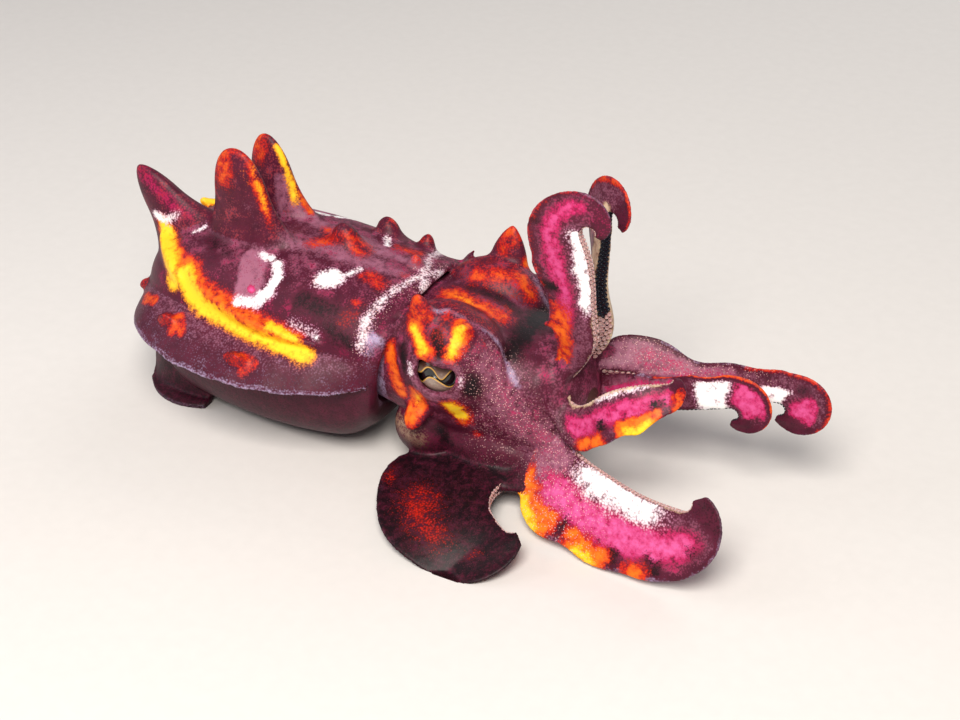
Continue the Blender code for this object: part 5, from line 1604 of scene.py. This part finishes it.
def eye_material():
    """A wet eye: black pupil with a gold rim in a silver-brown iris, under a clear cornea.
    The cornea is a coat that gives sharp highlights, and the iris has flecks drawn at
    0.35 mm, coarser than real."""
    material, tree, shader = new_material("eye_cornea", {
        "Roughness": 0.3,
        "IOR": 1.38,
        "Coat Weight": 1.0,
        "Coat Roughness": 0.03,
    })
    away = add(tree, "Attribute", {"attribute_name": "away"}, {}).outputs["Fac"]
    height = add(tree, "Attribute", {"attribute_name": "height"}, {}).outputs["Fac"]
    shade = add(tree, "MapRange", {"From Min": -1.2, "From Max": 1.2}, {"Value": height})
    rim = add(tree, "MapRange",
              {"From Min": 0.55, "From Max": 0.25, "interpolation_type": "SMOOTHSTEP"},
              {"Value": away})
    hole = add(tree, "MapRange", {"From Min": 0.26, "From Max": 0.16}, {"Value": away})
    colour = clouds(tree, 0.35, 4.0, "#7a6258", "#b8a596")
    # Painted shade of the upper lid darkens the iris above, then gold round the pupil, then the pupil
    # itself
    for tint, where in (("#4c3026", shade), ("#d8a23c", rim), ("#020203", hole)):
        colour = add(tree, "Mix", {"data_type": "RGBA", OVER: linear(tint)},
                     {SHARE: where.outputs[0], UNDER: colour}).outputs[MIXED]
    tree.links.new(colour, shader.inputs["Base Color"])
    return material


def mouth_material():
    """Wet muscle round the beak: dark, with soft folds and a dull gloss."""
    material, tree, shader = new_material("mouth_muscle", {"Roughness": 0.4})
    tree.links.new(clouds(tree, 0.8, 3.0, "#2c1210", "#4a2622"), shader.inputs["Base Color"])
    return material


def floor_material():
    """Matt studio paper, a warm pale grey. Its clouds of fibre are drawn 3 mm wide, coarser
    than real, so that they show."""
    material, tree, shader = new_material("studio_paper", {"Roughness": 0.9})
    tree.links.new(clouds(tree, 3.0, 3.0, "#dcd9d6", "#e2dfdc"), shader.inputs["Base Color"])
    return material


# Pieces

low_corner, high_corner = np.array(cad_box)
skin_places = np.clip(placed(points), low_corner, high_corner)
skin.data.vertices.foreach_set("co", np.ascontiguousarray(skin_places, np.float32).ravel())
skin.data.update()
skin.data.shade_smooth()
for pigment in PIGMENTS:
    marked(skin, pigment, paint[pigment])
skin.data.materials.append(skin_material())
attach(skin, "root")
FLESH = ["mantle", "head", "funnel"]
FLESH += [f"flap_{side}" for side in ("right", "left")]
FLESH += [f"fin_{third}_{side}" for third in ("front", "mid", "rear") for side in ("right", "left")]
FLESH += [f"{arm}_{half}" for arm in ARM_PLAN for half in ("base", "tip")]
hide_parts(*FLESH)

# The left arms show dark cups towards their curled tips, from these shares of their rows on
DARK_FROM = {"arm_1_left": 0.2, "arm_2_left": 0.45, "arm_3_left": 0.45, "arm_4_left": 0.45}
LOWEST_CUP = 0.02
cups, dark_cups = [], []
for name in ARM_PLAN:
    made = arm_suckers(name)
    cups += made
    pale_cups = DARK_FROM.get(name, 1.0) * len(made)
    dark_cups += [float(i > pale_cups) for i in range(len(made))]
cup_points, cup_faces = as_one(cups)
cup_points[:, 2] = np.maximum(cup_points[:, 2], LOWEST_CUP)
suckers = mesh_object("suckers", placed(cup_points), cup_faces)
suckers.data.shade_smooth()
marked(suckers, "dark", np.repeat(dark_cups, len(CUP) * CUP_SIDES))
suckers.data.materials.append(sucker_material())
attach(suckers, "root")

eye_look = eye_material()
for side, node in ((1, "eye_left"), (-1, "eye_right")):
    eyeball = make_eyeball(side)
    eyeball.data.shade_smooth()
    eyeball.data.materials.append(eye_look)
    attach(eyeball, "root")
    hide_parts(node)

mouth = bpy.data.objects["mouth"].data
mouth.materials.clear()
mouth.materials.append(mouth_material())

# Floor and lights, in metres

FLOOR_REACH = 1.5
LIGHT_AIM = (0, 0, 0.02)
# Each light: name, place, width, power and colour
LIGHTS = (
    ("key", (0.12, -0.35, 0.5), 0.3, 4.8, "#fff8f0"),
    ("side", (-0.45, -0.2, 0.3), 0.4, 0.7, "#f4f6ff"),
    ("back", (0.1, 0.5, 0.35), 0.5, 1.0, "#ffffff"),
)
WORLD_COLOUR = "#e6e6ea"
WORLD_POWER = 0.22

floor_corners = FLOOR_REACH * np.array(((-1, -1, 0), (1, -1, 0), (1, 1, 0), (-1, 1, 0)))
floor = mesh_object("floor", floor_corners, np.array(((0, 1, 2, 3),)))
floor.data.materials.append(floor_material())


def soft_light(name, place, width, power, colour):
    """A square light that looks at the middle of the animal."""
    data = bpy.data.lights.new(name, "AREA")
    data.size = width
    data.energy = power
    data.color = linear(colour)[:3]
    made = bpy.data.objects.new(name, data)
    made.location = place
    made.rotation_euler = (Vector(LIGHT_AIM) - Vector(place)).to_track_quat("-Z", "Y").to_euler()
    bpy.context.scene.collection.objects.link(made)


for plan in LIGHTS:
    soft_light(*plan)

world = bpy.data.worlds.new("studio")
world.use_nodes = True
world.node_tree.nodes["Background"].inputs["Color"].default_value = linear(WORLD_COLOUR)
world.node_tree.nodes["Background"].inputs["Strength"].default_value = WORLD_POWER
bpy.context.scene.world = world
# The plain transform keeps the skin's reds and yellows as strong as their hex values
bpy.context.scene.view_settings.view_transform = "Standard"
